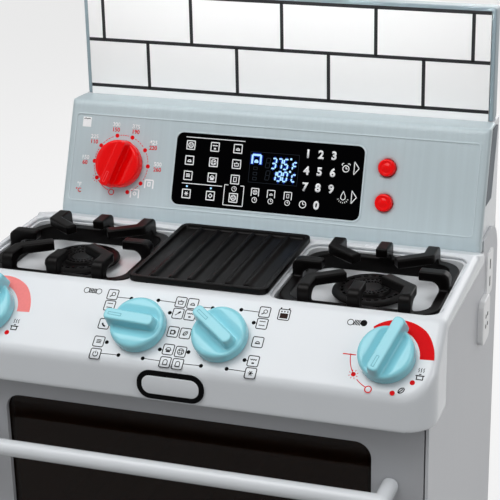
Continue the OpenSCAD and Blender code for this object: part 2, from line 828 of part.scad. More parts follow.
// The deck's outline from above.
module deck_plan(inset) {
  side = deck_side - inset;
  front = lip_y + inset;
  back = crease_y - inset;
  fr = deck_corner_r - inset;
  br = deck_back_r - inset;
  difference() {
    translate([-side, front]) square([2 * side, back - front]);
    both_sides() {
      translate([side - fr, front + fr]) difference() {
        translate([0, -fr - cut]) square(fr + cut);
        circle(fr);
      }
      translate([side - br, back - br]) difference() {
        square(br + cut);
        circle(br);
      }
    }
  }
}

// What rounds the upper edges of the deck's sides.
module edge_cutter(from, to) {
  both_sides() translate([deck_side - deck_edge_r, to, -deck_edge_r]) rotate([90, 0, 0])
    linear_extrude(to - from) difference() {
      square(deck_edge_r + cut);
      circle(deck_edge_r);
    }
}

module well_outline(inset) {
  round_rect(well_w - 2 * inset, well_d - 2 * inset, well_r - inset);
}

module knob_places() {
  for (x = [-knob_outer_x, -knob_inner_x, knob_inner_x, knob_outer_x]) on_fascia(x, knob_t) children();
}

module deck_shell() {
  color("#E4E6E9") difference() {
    intersection() {
      lengthwise(deck_w) deck_outside();
      translate([0, 0, lip_z - cut]) linear_extrude(deck_z) deck_plan(0);
    }
    intersection() {
      lengthwise(deck_w) deck_inside();
      translate([0, 0, lip_z - 2 * cut]) linear_extrude(deck_z) deck_plan(deck_wall);
    }
    on_deck() {
      edge_cutter(-deck_w, deck_crown_y);
      both_sides() translate([well_x, well_y, -well_depth]) linear_extrude(well_depth + cut) well_outline(0);
      griddle_pegs() translate([0, 0, -well_depth]) cylinder(h = well_depth + cut, r = 3);
    }
    on_fascia() edge_cutter(-fascia_len - 4, 8);
    // Room for the side panels under the rear wall
    both_sides() translate([side_in - 2 * fit_gap, crease_y - 10, skirt_z - cut])
      cube([side_t + 4 * fit_gap, 10 + cut, shoulder_z - skirt_z + cut + fit_gap]);
    knob_places() translate([0, 0, -deck_wall - cut]) cylinder(h = deck_wall + 2 * cut, r = stem_r + 0.6);
  }
}

module burner_tray_right() {
  color("#A9AEB2") on_deck() translate([well_x, well_y, 0]) {
    translate([0, 0, -deck_wall - tray_wall]) linear_extrude(tray_wall) difference() {
      round_rect(well_w + 2 * tray_flange, well_d + 2 * tray_flange, well_r);
      well_outline(tray_inset);
    }
    translate([0, 0, -well_depth - tray_wall]) linear_extrude(well_depth - deck_wall) difference() {
      well_outline(tray_inset - tray_wall);
      well_outline(tray_inset);
    }
    translate([0, 0, -well_depth - tray_wall]) linear_extrude(tray_wall) well_outline(tray_inset - tray_wall);
  }
}

module burner_tray_left() {
  mirror([1, 0, 0]) burner_tray_right();
}

// A grate: a ring on the tray's floor, whose fingers reach over the burner.
module grate_right() {
  inset = tray_inset + grate_gap;
  w = well_w - 2 * inset;
  d = well_d - 2 * inset;
  ring_h = well_depth - ring_drop;
  color("#1D1C1F") on_deck() translate([well_x, well_y, -well_depth]) {
    linear_extrude(ring_h) difference() {
      round_rect(w, d, ring_r);
      round_rect(w - 2 * ring_bar, d - 2 * ring_bar, ring_r - ring_bar);
    }
    for (side = [0, 180]) {
      grate_finger(w / 2, finger_len, side);
      grate_finger(d / 2, finger_len - 2, side + 90);
    }
    for (side = [-1, 1], end = [-1, 1]) bent_finger(side, end, d / 2);
  }
}

// A finger's side view: it stands on the ring, bends over and reaches len inwards.
module arch_outline(reach, len) {
  top = well_depth + grate_top;
  under = top - finger_t;
  difference() {
    translate([reach - len, 0]) square([len, top]);
    translate([reach - len - cut, -cut]) square([len + cut - ring_bar, under + cut - arch_r]);
    translate([reach - len - cut, 0]) square([len + cut - ring_bar - arch_r, under]);
    translate([reach - ring_bar - arch_r, under - arch_r]) circle(arch_r);
    translate([reach - arch_r, top - arch_r]) difference() {
      square(arch_r + cut);
      circle(arch_r);
    }
  }
}

module grate_finger(reach, len, turn) {
  rotate(turn) translate([0, finger_w / 2, 0]) rotate([90, 0, 0]) linear_extrude(finger_w)
    arch_outline(reach, len);
}

module bent_finger(side, end, reach) {
  top = well_depth + grate_top;
  run = finger_x - tip_xy;
  drop = bend_y - tip_xy;
  lean = atan2(drop, run);
  translate([side * finger_x, 0, 0]) grate_finger(reach, reach - bend_y, end * 90);
  translate([0, 0, top - finger_t]) linear_extrude(finger_t)
    mirror([side > 0 ? 0 : 1, 0]) mirror([0, end > 0 ? 0 : 1]) {
    translate([finger_x, bend_y]) circle(finger_w / 2);
    translate([finger_x, bend_y]) rotate(180 + lean)
      translate([0, -finger_w / 2]) square([sqrt(run * run + drop * drop), finger_w]);
  }
}

module grate_left() {
  mirror([1, 0, 0]) grate_right();
}

module burner_head_right() {
  ports = 24;
  color("#2A2A2D") on_deck() translate([well_x, well_y, -well_depth]) difference() {
    cylinder(h = head_h, r = head_r);
    for (i = [0 : ports - 1])
      rotate(i * 360 / ports) translate([head_r - 2, -0.6, head_h - 1.4]) cube([3, 1.2, 2]);
  }
}

module burner_head_left() {
  mirror([1, 0, 0]) burner_head_right();
}

module burner_cap_right() {
  holes = 18;
  color("#1D1C1F") on_deck() translate([well_x, well_y, -well_depth + head_h]) difference() {
    rotate_extrude($fn = 96) polygon([
      [0, 0], [cap_r - 1, 0], [cap_r, 1], [cap_r - 1, cap_t - 0.6], [cap_r - 4, cap_t], [0, cap_t]
    ]);
    for (i = [0 : holes - 1])
      rotate(i * 360 / holes) translate([cap_r / 2, -0.6, cap_t - 1]) cube([2.4, 1.2, 2]);
  }
}

module burner_cap_left() {
  mirror([1, 0, 0]) burner_cap_right();
}

module griddle_pegs() {
  for (y = [-1, 1]) translate([0, griddle_y() + y * griddle_d / 4, 0]) children();
}

function griddle_y() = -well_front + griddle_d / 2;

module griddle() {
  floor_t = 1.6;
  span = griddle_d - 2 * griddle_rim - 4;
  color("#1D1C1F") on_deck() {
    translate([0, griddle_y(), 0]) {
      linear_extrude(griddle_h) difference() {
        round_rect(griddle_w, griddle_d, 5);
        round_rect(griddle_w - 2 * griddle_rim, griddle_d - 2 * griddle_rim, 3);
      }
      linear_extrude(floor_t) round_rect(griddle_w - 2, griddle_d - 2, 5);
      for (i = [0 : ridge_count - 1])
        translate([(i - (ridge_count - 1) / 2) * ridge_pitch, 0, 0]) {
          translate([-2, -span / 2, 0]) cube([4, span, griddle_h - 2]);
          translate([0, span / 2, griddle_h - 2]) rotate([90, 0, 0]) cylinder(h = span, r = 2, $fn = 32);
        }
    }
    griddle_pegs() translate([0, 0, -deck_wall - 2]) {
      cylinder(h = deck_wall + 3, r = 3);
      cylinder(h = 2 - 0.1, r = 3.6);
    }
  }
}

// ---- knobs ----

// The grip from above, wider by grow: it reaches further on its marked side than on its plain side.
module grip_outline(reach, tail, grow) {
  translate([0, (reach - tail) / 2])
    round_rect(knob_grip_w + 2 * grow, reach + tail + 2 * grow, knob_grip_w * 0.36 + grow);
}

// A knob on its face's own frame: a disc, a grip, and a stem with a snap ring.
module knob(r, disc_h, grip_h, reach, tail, turn, wall) {
  deep = wall + bush_len;
  difference() {
    union() {
      rotate_extrude($fn = 96) polygon([
        [0, lift_gap], [r, lift_gap], [r, disc_h * 0.5], [r - 0.6, disc_h * 0.8],
        [r - 1.6, disc_h * 0.95], [r - 3, disc_h], [0, disc_h]
      ]);
      rotate(-turn) {
        translate([0, 0, disc_h * 0.4]) linear_extrude(grip_h - disc_h * 0.4 - 1) grip_outline(reach, tail, 0);
        translate([0, 0, grip_h - 1.5]) linear_extrude(1.5) grip_outline(reach, tail, -0.7);
        translate([0, 0, disc_h - 1]) linear_extrude(2.2) intersection() {
          grip_outline(reach, tail, 1.2);
          circle(r - 2);
        }
      }
      translate([0, 0, -deep - lift_gap]) cylinder(h = deep + 2 * lift_gap + 1, r = stem_r);
      translate([0, 0, -deep - lift_gap - 3]) cylinder(h = 3, r = stem_r + 1);
    }
    // The slot that marks one end
    rotate(-turn) translate([-0.6, reach * 0.4, grip_h - 0.6]) cube([1.2, reach * 0.42, 2]);
  }
}

module bush(wall) {
  translate([0, 0, -wall - bush_len]) difference() {
    cylinder(h = bush_len, r = bush_r);
    translate([0, 0, -cut]) cylinder(h = bush_len + 2 * cut, r = stem_r + stem_gap);
  }
}

module burner_knob_left() {
  color("#8ED2DC") on_fascia(-knob_outer_x, knob_t)
    knob(knob_r, knob_disc_h, knob_grip_h, burner_reach, burner_tail, burner_turn_left, deck_wall);
}

module burner_knob_right() {
  color("#8ED2DC") on_fascia(knob_outer_x, knob_t)
    knob(knob_r, knob_disc_h, knob_grip_h, burner_reach, burner_tail, burner_turn_right, deck_wall);
}

module oven_knob_left() {
  color("#8ED2DC") on_fascia(-knob_inner_x, knob_t)
    knob(knob_r, knob_disc_h, knob_grip_h, knob_reach, knob_tail, oven_turn_left, deck_wall);
}

module oven_knob_right() {
  color("#8ED2DC") on_fascia(knob_inner_x, knob_t)
    knob(knob_r, knob_disc_h, knob_grip_h, knob_reach, knob_tail, oven_turn_right, deck_wall);
}

module knob_bushes() {
  color("#D8DADD") knob_places() bush(deck_wall);
}

// ---- console ----

// The console's side view, set in from its outer faces by inset.
module console_profile(inset, foot) {
  face_in = inset / cos(console_lean);
  low_y = crease_y + inset;
  low_z = crease_z + (inset - face_in) / tan(console_lean);
  r = console_r - inset;
  top = ledge_z - inset;
  polygon([
    [low_y, foot], [low_y, low_z],
    [crown_y - r * cos(console_lean), crown_z + r * sin(console_lean)], [crown_y, crown_z],
    [crown_y, top], [splash_y, top], [splash_y, foot]
  ]);
  translate([crown_y, crown_z]) circle(r);
}

// What lies behind the console's side returns.
module behind_returns() {
  y = crease_y + console_return;
  top = ledge_z - console_wall;
  polygon([
    [y, console_foot - cut], [y, crease_z], [y + (top - crease_z) * tan(console_lean), top],
    [back_y, top], [back_y, console_foot - cut]
  ]);
}

module console_edges() {
  both_sides() on_console(console_side - console_r, console_len + 20) rotate([90, 0, 0])
    translate([0, -console_r, 0]) linear_extrude(console_len + 60) difference() {
      square(console_r + cut);
      circle(console_r);
    }
}

module lens_hole(inset) {
  round_rect(lens_w - 2 * inset, lens_h - 2 * inset, lens_r);
}

module console_front() {
  color("#A9B6BA") difference() {
    lengthwise(console_w) console_profile(0, console_foot);
    lengthwise(console_w - 2 * console_wall) difference() {
      console_profile(console_wall, console_foot - cut);
      translate([splash_y - 2, 0]) square([4, 2 * ledge_z]);
    }
    lengthwise(console_w + 2 * cut) behind_returns();
    console_edges();
    on_console(0, lens_t) {
      translate([0, 0, -lens_thick]) linear_extrude(lens_thick + cut) lens_hole(-fit_gap);
      translate([0, 0, -console_wall - cut]) linear_extrude(console_wall + 2 * cut) lens_hole(3);
    }
    on_console(-timer_x, timer_t)
      translate([0, 0, -console_wall - cut]) cylinder(h = console_wall + 2 * cut, r = stem_r + 0.6);
    for (t = [button_low_t, button_high_t]) on_console(button_x, t)
      translate([0, 0, -console_wall - cut]) cylinder(h = console_wall + 2 * cut, r = button_r + run_gap);
  }
  color("#A9B6BA") {
    board_posts() translate([0, 0, -console_wall - board_gap]) cylinder(h = board_gap + 0.5, r = post_r);
    pad_posts() translate([0, 0, pad_board_z]) cylinder(h = -console_wall - pad_board_z + 0.5, r = post_r);
  }
}

module board_posts() {
  for (x = [-1, 1], t = [-1, 1])
    on_console(x * lens_w / 2, lens_t + t * (board_h / 2 - 5)) children();
}

module pad_posts() {
  for (t = [-1, 1]) on_console(button_x, (button_low_t + button_high_t) / 2 + t * pad_post_t) children();
}

module console_back() {
  wall = 2.5;
  top = ledge_z - console_wall;
  color("#DDDFE3") difference() {
    lengthwise(2 * casing_x) polygon([
      [housing_y, housing_low], [housing_y, crease_z],
      [housing_y + (top - crease_z) * tan(console_lean), top],
      [splash_y + fit_gap, top], [splash_y + fit_gap, ledge_z], [back_y, ledge_z],
      [back_y, deck_foot], [inner_back_y - fit_gap, deck_foot], [inner_back_y - fit_gap, housing_low]
    ]);
    lengthwise(2 * (casing_x - wall)) square([back_y - wall, ledge_z - console_wall - wall]);
    splash_tongues(fit_gap);
  }
}

// The strips on the console's sides, behind its front.
module console_trims() {
  low = body_h + 21.8;
  high = ledge_z - console_wall - 1;
  front = crease_y + console_return + 2 * fit_gap;
  color("#4E5862") both_sides() sideways(casing_x, trim_t) polygon([
    [front + (low - crease_z) * tan(console_lean), low],
    [front + trim_w + (low - crease_z) * tan(console_lean), low],
    [front + trim_w + (high - crease_z) * tan(console_lean), high],
    [front + (high - crease_z) * tan(console_lean), high]
  ]);
}

module display_lens() {
  color("#101216") on_console(0, lens_t) translate([0, 0, -lens_thick]) linear_extrude(lens_thick) lens_hole(0);
}

module display_board() {
  back = -console_wall - board_gap - board_t;
  color("#1F5A3C") on_console(0, lens_t) translate([0, 0, back]) {
    linear_extrude(board_t) round_rect(board_w, board_h, 2);
    // The number display and the two status lamps
    translate([-13, -6, board_t]) cube([36, 22, 2.6]);
    for (x = [-56.5, -38.9]) translate([x - 2, -8, board_t]) cube([4, 4, 1.6]);
    // The chip and the socket on the rear side
    translate([-9, -9, -1.4]) cube([18, 18, 1.4]);
    translate([34, -10, -5]) cube([7, 20, 5]);
  }
}

module timer_knob() {
  color("#D3232C") on_console(-timer_x, timer_t)
    knob(timer_r, timer_disc_h, timer_grip_h, timer_reach, timer_tail, timer_turn, console_wall);
}

module timer_bush() {
  color("#D8DADD") on_console(-timer_x, timer_t) bush(console_wall);
}

// A button: a cap in the console's hole, a flange that holds it in, and a plunger.
module push_button() {
  low = -console_wall - lift_gap;
  color("#D3232C") {
    translate([0, 0, low - flange_t]) cylinder(h = flange_t, r = button_r + 1.6);
    translate([0, 0, low]) cylinder(h = button_h - 1 - low, r = button_r);
    translate([0, 0, button_h - 1]) rotate_extrude()
      polygon([[0, 0], [button_r, 0], [button_r - 0.4, 0.6], [button_r - 1.4, 1], [0, 1]]);
    translate([0, 0, low - flange_t - plunger_len]) cylinder(h = plunger_len, r = 2);
  }
}

module button_upper() {
  on_console(button_x, button_high_t) push_button();
}

module button_lower() {
  on_console(button_x, button_low_t) push_button();
}

module button_pads() {
  color("#7B8086") {
    on_console(button_x, (button_low_t + button_high_t) / 2) translate([0, 0, pad_board_z - board_t])
      linear_extrude(board_t) round_rect(16, 2 * pad_post_t + 10, 2);
    for (t = [button_low_t, button_high_t]) on_console(button_x, t) translate([0, 0, pad_board_z - 0.5])
      rotate_extrude() polygon([[0, 0], [5, 0], [5, 0.5], [3, 2.1], [2.4, 2.5], [0, 2.5]]);
  }
}

// ---- backsplash ----

module splash_tongues(gap) {
  both_sides() translate([tongue_x - gap, splash_y + 5 - gap, ledge_z - 3 - gap]) cube([24 + 2 * gap, 6 + 2 * gap, 3 + cut]);
}

module backsplash_frame() {
  front = splash_y + fit_gap;
  lap = 8;
  seat_y = front + tile_t + fit_gap;
  color("#9AA8AE") {
    difference() {
      upright(front, splash_d) translate([-splash_side, ledge_z]) square([splash_w, splash_h]);
      upright(front - cut, seat_y - front + cut)
        translate([-tile_side, ledge_z - cut]) square([2 * tile_side, tile_top - ledge_z + cut]);
      upright(seat_y - cut, splash_d) translate([-tile_side + lap, ledge_z + lap])
        square([2 * (tile_side - lap), tile_top - ledge_z - 2 * lap]);
    }
    intersection() {
      splash_tongues(0);
      translate([-splash_side, 0, ledge_z - 3]) cube([splash_w, back_y, 3]);
    }
  }
}

module tile_panel() {
  front = splash_y + fit_gap;
  color("#F2F3F4") difference() {
    upright(front, tile_t) translate([-tile_side + fit_gap, ledge_z])
      square([2 * (tile_side - fit_gap), tile_top - ledge_z - fit_gap]);
    upright(front - cut, joint_depth + cut) {
      for (row = [0 : floor((tile_top - ledge_z - tile_first) / tile_h)]) {
        z = ledge_z + tile_first + row * tile_h;
        translate([-splash_side, z - joint_w / 2]) square([splash_w, joint_w]);
        for (i = [-3 : 3]) translate([(i + (row % 2 == 0 ? 0.5 : 0)) * tile_w - joint_w / 2, z])
          square([joint_w, min(tile_h, tile_top - z)]);
      }
    }
  }
}

// ---- power and sound ----

module battery_box() {
  front = inner_back_y - cell_box_d;
  color("#2B2D30") difference() {
    union() {
      upright(front, cell_box_d) translate([0, cell_door_z])
        square([box_w + 2 * box_wall, box_h + 2 * box_wall], center = true);
      upright(inner_back_y - box_wall, box_wall) translate([0, cell_door_z])
        square([box_w + 2 * box_wall + 2 * box_flange, box_h + 2 * box_wall], center = true);
      battery_screw_places() translate([0, 0, -panel_t - 8]) cylinder(h = 8, r = screw_r + 1.2);
    }
    difference() {
      upright(front + box_wall, cell_box_d) translate([0, cell_door_z]) square([box_w, box_h], center = true);
      // The ribs between the cells
      for (i = [1 : cell_count - 1])
        translate([-box_w / 2 - cut, front, cell_row_z(i - 0.5) - 0.6]) cube([box_w + 2 * cut, cell_r, 1.2]);
    }
    battery_screw_places() screw_hole(panel_t + screw_len - 2);
  }
}

function cell_row_z(i) = cell_door_z + (i - (cell_count - 1) / 2) * cell_pitch;

module cell_places() {
  for (i = [0 : cell_count - 1])
    translate([0, cell_y, cell_row_z(i)]) rotate([0, i % 2 == 0 ? 90 : -90, 0]) children();
}

module battery_cells() {
  color("#3F6E9A") cell_places() {
    translate([0, 0, -cell_len / 2]) cylinder(h = cell_len - 1.2, r = cell_r);
    translate([0, 0, cell_len / 2 - 2]) cylinder(h = 2, r = 2.6);
  }
}

module battery_contacts() {
  reach = box_w / 2 - cell_len / 2 - contact_t;
  color("#B9BEC4") cell_places() for (end = [-1, 1]) {
    translate([-5, -5, end * (box_w - contact_t) / 2 - contact_t / 2]) cube([10, 10, contact_t]);
    translate([0, 0, end > 0 ? cell_len / 2 : -cell_len / 2 - reach - 0.3])
      cylinder(h = reach + 0.3, r = end > 0 ? 2 : 3.4);
  }
}

module battery_door() {
  color("#BDC0C4") difference() {
    upright(back_y - cell_door_t, cell_door_t)
      translate([0, cell_door_z]) round_rect(cell_door_w, cell_door_h, 4);
    battery_screw_places() {
      screw_hole(screw_len);
      translate([0, 0, -head_t + 0.4]) cylinder(h = head_t + cut, r = screw_r + fit_gap);
    }
    for (z = [-2 : 2]) translate([cell_door_w / 2 - 12, back_y - 0.6, cell_door_z + z * 5 - 1]) cube([8, cut, 2]);
  }
}

module battery_screws() {
  color("#8E9398") battery_screw_places() translate([0, 0, -head_t + 0.4]) screw(screw_len - 1);
}

// The switch's slider: a lever through the back panel, on a shoe that runs behind it.
module power_switch() {
  shoe_y = inner_back_y - 0.2 - shoe_t;
  color("#26282B") translate([switch_x, 0, switch_z]) {
    translate([-switch_w / 2, shoe_y, -switch_h / 2]) cube([switch_w, back_y + 2 - shoe_y, switch_h]);
    translate([-switch_w / 2 - 5, shoe_y, -switch_h / 2 - 3]) cube([switch_w + 10, shoe_t, switch_h + 6]);
    translate([-2, shoe_y - 1.6, -2]) cube([4, 1.8, 4]);
  }
}

module switch_board() {
  mid = switch_x + switch_travel / 2;
  color("#1F5A3C") {
    upright(pcb_y, board_t) translate([mid, switch_z]) square([pcb_w, pcb_h], center = true);
    translate([mid - 9, pcb_y + board_t, switch_z - 6]) cube([18, 2.4, 12]);
    translate([mid - 24, pcb_y - 1.4, switch_z - 8]) cube([14, 1.4, 14]);
    translate([mid + 10, pcb_y - 5, switch_z - 5]) cube([8, 5, 12]);
  }
}

module speaker() {
  color("#4A4D51") translate([side_in, pod_y, pod_z]) rotate([0, -90, 0]) {
    difference() {
      union() {
        cylinder(h = 2, r = speaker_r);
        cylinder(h = 10, r = speaker_r * 0.75);
      }
      translate([0, 0, -cut]) cylinder(h = 5, r = speaker_r * 0.65);
    }
    cylinder(h = 7, r = speaker_r * 0.3);
    translate([0, 0, 10]) cylinder(h = 6, r = speaker_r * 0.45);
  }
}

module speaker_pod() {
  color("#E1E3E6") difference() {
    sideways(body_w / 2, pod_t) translate([pod_y, pod_z]) round_rect(pod_w, pod_h, 5);
    sideways(body_w / 2 - cut, pod_t - 1.5 + cut) translate([pod_y, pod_z]) round_rect(pod_w - 4, pod_h - 4, 3);
    for (y = [-3, 3], z = [-3.5, 3.5])
      translate([body_w / 2, pod_y + y, pod_z + z]) rotate([0, 90, 0]) cylinder(h = pod_t + cut, r = 1.1);
  }
}

module vent_plate() {
  color("#E6E8EA") sideways(body_w / 2, vent_t) difference() {
    translate([vent_y, vent_z]) round_rect(vent_w, vent_h, 4);
    for (z = [-1, 1]) translate([vent_y, vent_z + z * vent_h / 5]) round_rect(3, 7, 1.2);
  }
}

// ---- build ----

base_tray();
rubber_pads();
side_panel_left();
side_panel_right();
back_panel();
kick_panel();
face_frame();
oven_liner();
oven_lamp();
oven_rack();
door_frame();
door_back();
door_window();
door_handle();
door_screws();
hinge_pins();
deck_shell();
burner_tray_left();
burner_tray_right();
grate_left();
grate_right();
burner_head_left();
burner_head_right();
burner_cap_left();
burner_cap_right();
griddle();
burner_knob_left();
burner_knob_right();
oven_knob_left();
oven_knob_right();
knob_bushes();
console_front();
console_back();
console_trims();
display_lens();
display_board();
timer_knob();
timer_bush();
button_upper();
button_lower();
button_pads();
backsplash_frame();
tile_panel();
battery_box();
battery_cells();
battery_contacts();
battery_door();
battery_screws();
power_switch();
switch_board();
speaker();
speaker_pod();
vent_plate();
back_screws();
side_screws();
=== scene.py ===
import bmesh
import bpy
import json
from math import atan2, cos, degrees, pi, radians, sin
from mathutils import Matrix, Vector


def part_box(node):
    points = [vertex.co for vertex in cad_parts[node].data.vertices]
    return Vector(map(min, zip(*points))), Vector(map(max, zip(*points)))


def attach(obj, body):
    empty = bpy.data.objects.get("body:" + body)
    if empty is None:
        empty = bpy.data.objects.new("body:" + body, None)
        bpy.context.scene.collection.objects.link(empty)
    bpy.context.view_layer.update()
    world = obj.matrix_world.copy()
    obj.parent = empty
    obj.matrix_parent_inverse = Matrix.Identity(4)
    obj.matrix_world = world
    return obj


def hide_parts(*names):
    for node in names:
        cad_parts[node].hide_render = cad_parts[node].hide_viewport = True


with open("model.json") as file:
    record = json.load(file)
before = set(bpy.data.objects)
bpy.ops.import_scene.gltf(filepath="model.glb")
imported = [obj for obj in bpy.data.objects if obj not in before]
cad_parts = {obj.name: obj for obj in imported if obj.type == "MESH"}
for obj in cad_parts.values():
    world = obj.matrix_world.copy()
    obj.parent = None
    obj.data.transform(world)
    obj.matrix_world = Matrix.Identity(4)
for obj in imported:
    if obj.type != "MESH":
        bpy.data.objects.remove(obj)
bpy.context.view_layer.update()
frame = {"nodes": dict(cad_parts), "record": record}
nodes = frame["nodes"]
scene = bpy.context.scene
millimetre = 0.001
plainFace = Matrix.Scale(millimetre, 4)
moved = Matrix.Translation


def linked(name, data):
    made = bpy.data.objects.new(name, data)
    scene.collection.objects.link(made)
    return made


def meshOf(name, bm):  # a mesh from a bmesh, which is used up
    mesh = bpy.data.meshes.new(name)
    bm.to_mesh(mesh)
    bm.free()
    return mesh


def shownMesh(holder):  # an object's mesh with its modifiers applied
    return bpy.data.meshes.new_from_object(holder.evaluated_get(bpy.context.evaluated_depsgraph_get()))


cameraSet = {
    "place": (0.29483, -0.77333, 0.59972),
    "right": (0.96354489, 0.26749153, 0.00543423),
    "up": (-0.08591387, 0.29011141, 0.95312863),
    "back": (0.2533773, -0.91884909, 0.3025166),
    "lens": 97.22, "sensor": 36, "shiftX": -0.2255, "shiftY": -0.1091, "clip": (0.01, 50),
}


def makeCamera(spec):
    made = bpy.data.cameras.new("photographView")
    made.lens, made.sensor_width = spec["lens"], spec["sensor"]
    made.shift_x, made.shift_y = spec["shiftX"], spec["shiftY"]
    made.clip_start, made.clip_end = spec["clip"]
    made.dof.use_dof = False
    holder = linked("photographView", made)
    turn = Matrix((spec["right"], spec["up"], spec["back"])).transposed().to_4x4()
    holder.matrix_world = moved(spec["place"]) @ turn
    scene.camera = holder


makeCamera(cameraSet)
print("camera set")

lampSet = [
    # name, place, aim, width, height, watts, spread in degrees
    ("overheadBox", (-0.15, -0.38, 1.12), (0.0, -0.03, 0.30), 0.9, 0.6, 5.5, 180),
    ("leftBox", (-1.35, -1.1, 0.95), (0.0, -0.05, 0.28), 0.8, 1.2, 1.7, 180),
    ("rightStrip", (1.45, -0.55, 1.0), (0.05, -0.05, 0.28), 0.3, 1.2, 5.2, 180),
    ("backBox", (0.35, 1.4, 0.8), (0.0, 0.1, 0.25), 1.4, 0.9, 9.0, 180),
    ("tileBox", (-0.1, -1.2, 0.85), (0.0, 0.09, 0.49), 0.3, 0.04, 0.07, 11),
]


def makeLamp(name, place, aim, width, height, watts, spread):
    made = bpy.data.lights.new(name, "AREA")
    made.shape = "RECTANGLE"
    made.size, made.size_y, made.energy = width, height, watts
    made.spread = radians(spread)
    holder = linked(name, made)
    look = (Vector(aim) - Vector(place)).to_track_quat("-Z", "Y")
    holder.matrix_world = moved(place) @ look.to_matrix().to_4x4()
    holder.visible_camera = False


for lamp in lampSet:
    makeLamp(*lamp)
scene.view_settings.view_transform = "Standard"


def colourOf(code, gain=1.0):  # an sRGB hex colour as linear light, by the standard's own numbers, times gain
    parts = [int(code[i : i + 2], 16) / 255 for i in (1, 3, 5)]
    light = [p / 12.92 if p <= 0.04045 else ((p + 0.055) / 1.055) ** 2.4 for p in parts]
    return (*(min(part * gain, 1) for part in light), 1)


def addNode(tree, kind, settings=None, links=None):
    made = tree.nodes.new(kind)
    for name, value in (settings or {}).items():
        if isinstance(name, int) or name in made.inputs:
            made.inputs[name].default_value = value
        else:
            setattr(made, name, value)
    for name, source in (links or {}).items():
        tree.links.new(source, made.inputs[name])
    return made


def newMaterial(name):
    made = bpy.data.materials.new(name)
    made.use_nodes = True
    made.node_tree.nodes.clear()
    return made, made.node_tree


# roughness of a surface's smoothest and dullest spots, as shares of its gloss setting
evenSheen, drawnSheen, hazySheen = (0.8, 1.25), (0.7, 1.4), (0.6, 1.6)
plasticIndex = 1.5  # near enough for ABS, lacquer, rubber and ink


def pattern(tree, size, detail=2.0, stretch=(1, 1, 1)):
    # noise with features of a size in millimetres, in the piece's own coordinates
    place = addNode(tree, "ShaderNodeTexCoord").outputs["Object"]
    place = addNode(tree, "ShaderNodeMapping", {"Scale": stretch}, {"Vector": place}).outputs["Vector"]
    settings = {"Scale": 1 / (size * millimetre), "Detail": detail}
    return addNode(tree, "ShaderNodeTexNoise", settings, {"Vector": place}).outputs["Fac"]


def tones(code, tone):  # a colour mix that wanders by tone to both sides
    return {"data_type": "RGBA", 6: colourOf(code, 1 - tone), 7: colourOf(code, 1 + tone)}


def limits(gloss, shares):
    return {"To Min": gloss * shares[0], "To Max": gloss * shares[1]}


def coated(made, settings, links):  # ends a material with its shader
    shader = addNode(made.node_tree, "ShaderNodeBsdfPrincipled", settings, links)
    addNode(made.node_tree, "ShaderNodeOutputMaterial", None, {"Surface": shader.outputs["BSDF"]})
    return made


def moulded(
    name, code, gloss=0.3, tone=0.04, blotch=35.0, grit=0.35, relief=0.012, edge=0.35, stretch=(1, 1, 1), specular=0.5
):
    # tone: how far the colour wanders; blotch, grit, relief and edge are in millimetres
    made, tree = newMaterial(name)
    broad, fine = pattern(tree, blotch, 3.0, stretch), pattern(tree, grit, 2.0, stretch)
    soft = addNode(tree, "ShaderNodeBevel", {"samples": 6, "Radius": edge * millimetre}).outputs["Normal"]
    depth = {"Strength": 0.35, "Distance": relief * millimetre}
    bump = addNode(tree, "ShaderNodeBump", depth, {"Height": fine, "Normal": soft}).outputs["Normal"]
    paint = addNode(tree, "ShaderNodeMix", tones(code, tone), {"Factor": broad}).outputs[2]
    dull = addNode(tree, "ShaderNodeMapRange", limits(gloss, evenSheen), {"Value": broad}).outputs["Result"]
    links = {"Base Color": paint, "Roughness": dull, "Normal": bump}
    return coated(made, {"IOR": plasticIndex, "Specular IOR Level": specular}, links)


def metal(name, code, gloss, grain=0.8, closer=(1, 1, 12), relief=0.01):  # the grain lies 12 times closer along Z
    made, tree = newMaterial(name)
    drawn = pattern(tree, grain, 3.0, closer)
    depth = {"Strength": 0.3, "Distance": relief * millimetre}
    bump = addNode(tree, "ShaderNodeBump", depth, {"Height": drawn}).outputs["Normal"]
    dull = addNode(tree, "ShaderNodeMapRange", limits(gloss, drawnSheen), {"Value": drawn}).outputs["Result"]
    return coated(made, {"Base Color": colourOf(code), "Metallic": 1.0}, {"Roughness": dull, "Normal": bump})


def lit(name, code, strength, ground, gloss=0.5, specular=0.05, speck=0.6, tone=0.15):  # a lit mark on its ground
    made, tree = newMaterial(name)
    settings = {"Base Color": colourOf(ground), "Roughness": gloss, "Specular IOR Level": specular}
    paint = addNode(tree, "ShaderNodeMix", tones(code, tone), {"Factor": pattern(tree, speck)}).outputs[2]
    return coated(made, {**settings, "Emission Strength": strength}, {"Emission Color": paint})


def ink(name, code, gloss=0.45):  # screen print: thin, even and slightly open at the edge of each dot
    return moulded(name, code, gloss=gloss, tone=0.06, blotch=1.6, grit=0.2, relief=0.006, edge=0.05, specular=0.05)


def smoked(name, code, gloss=0.06, haze=30, index=1.18, specular=0.3, clear=0.95):
    # the sheet's own index is 1.59; it is lowered to the weak reflection that the photo shows
    made, tree = newMaterial(name)
    settings = {"IOR": index, "Specular IOR Level": specular, "Transmission Weight": clear}
    cloud = {"Value": pattern(tree, haze, 4.0)}
    dull = addNode(tree, "ShaderNodeMapRange", limits(gloss, hazySheen), cloud).outputs["Result"]
    return coated(made, {"Base Color": colourOf(code), **settings}, {"Roughness": dull})


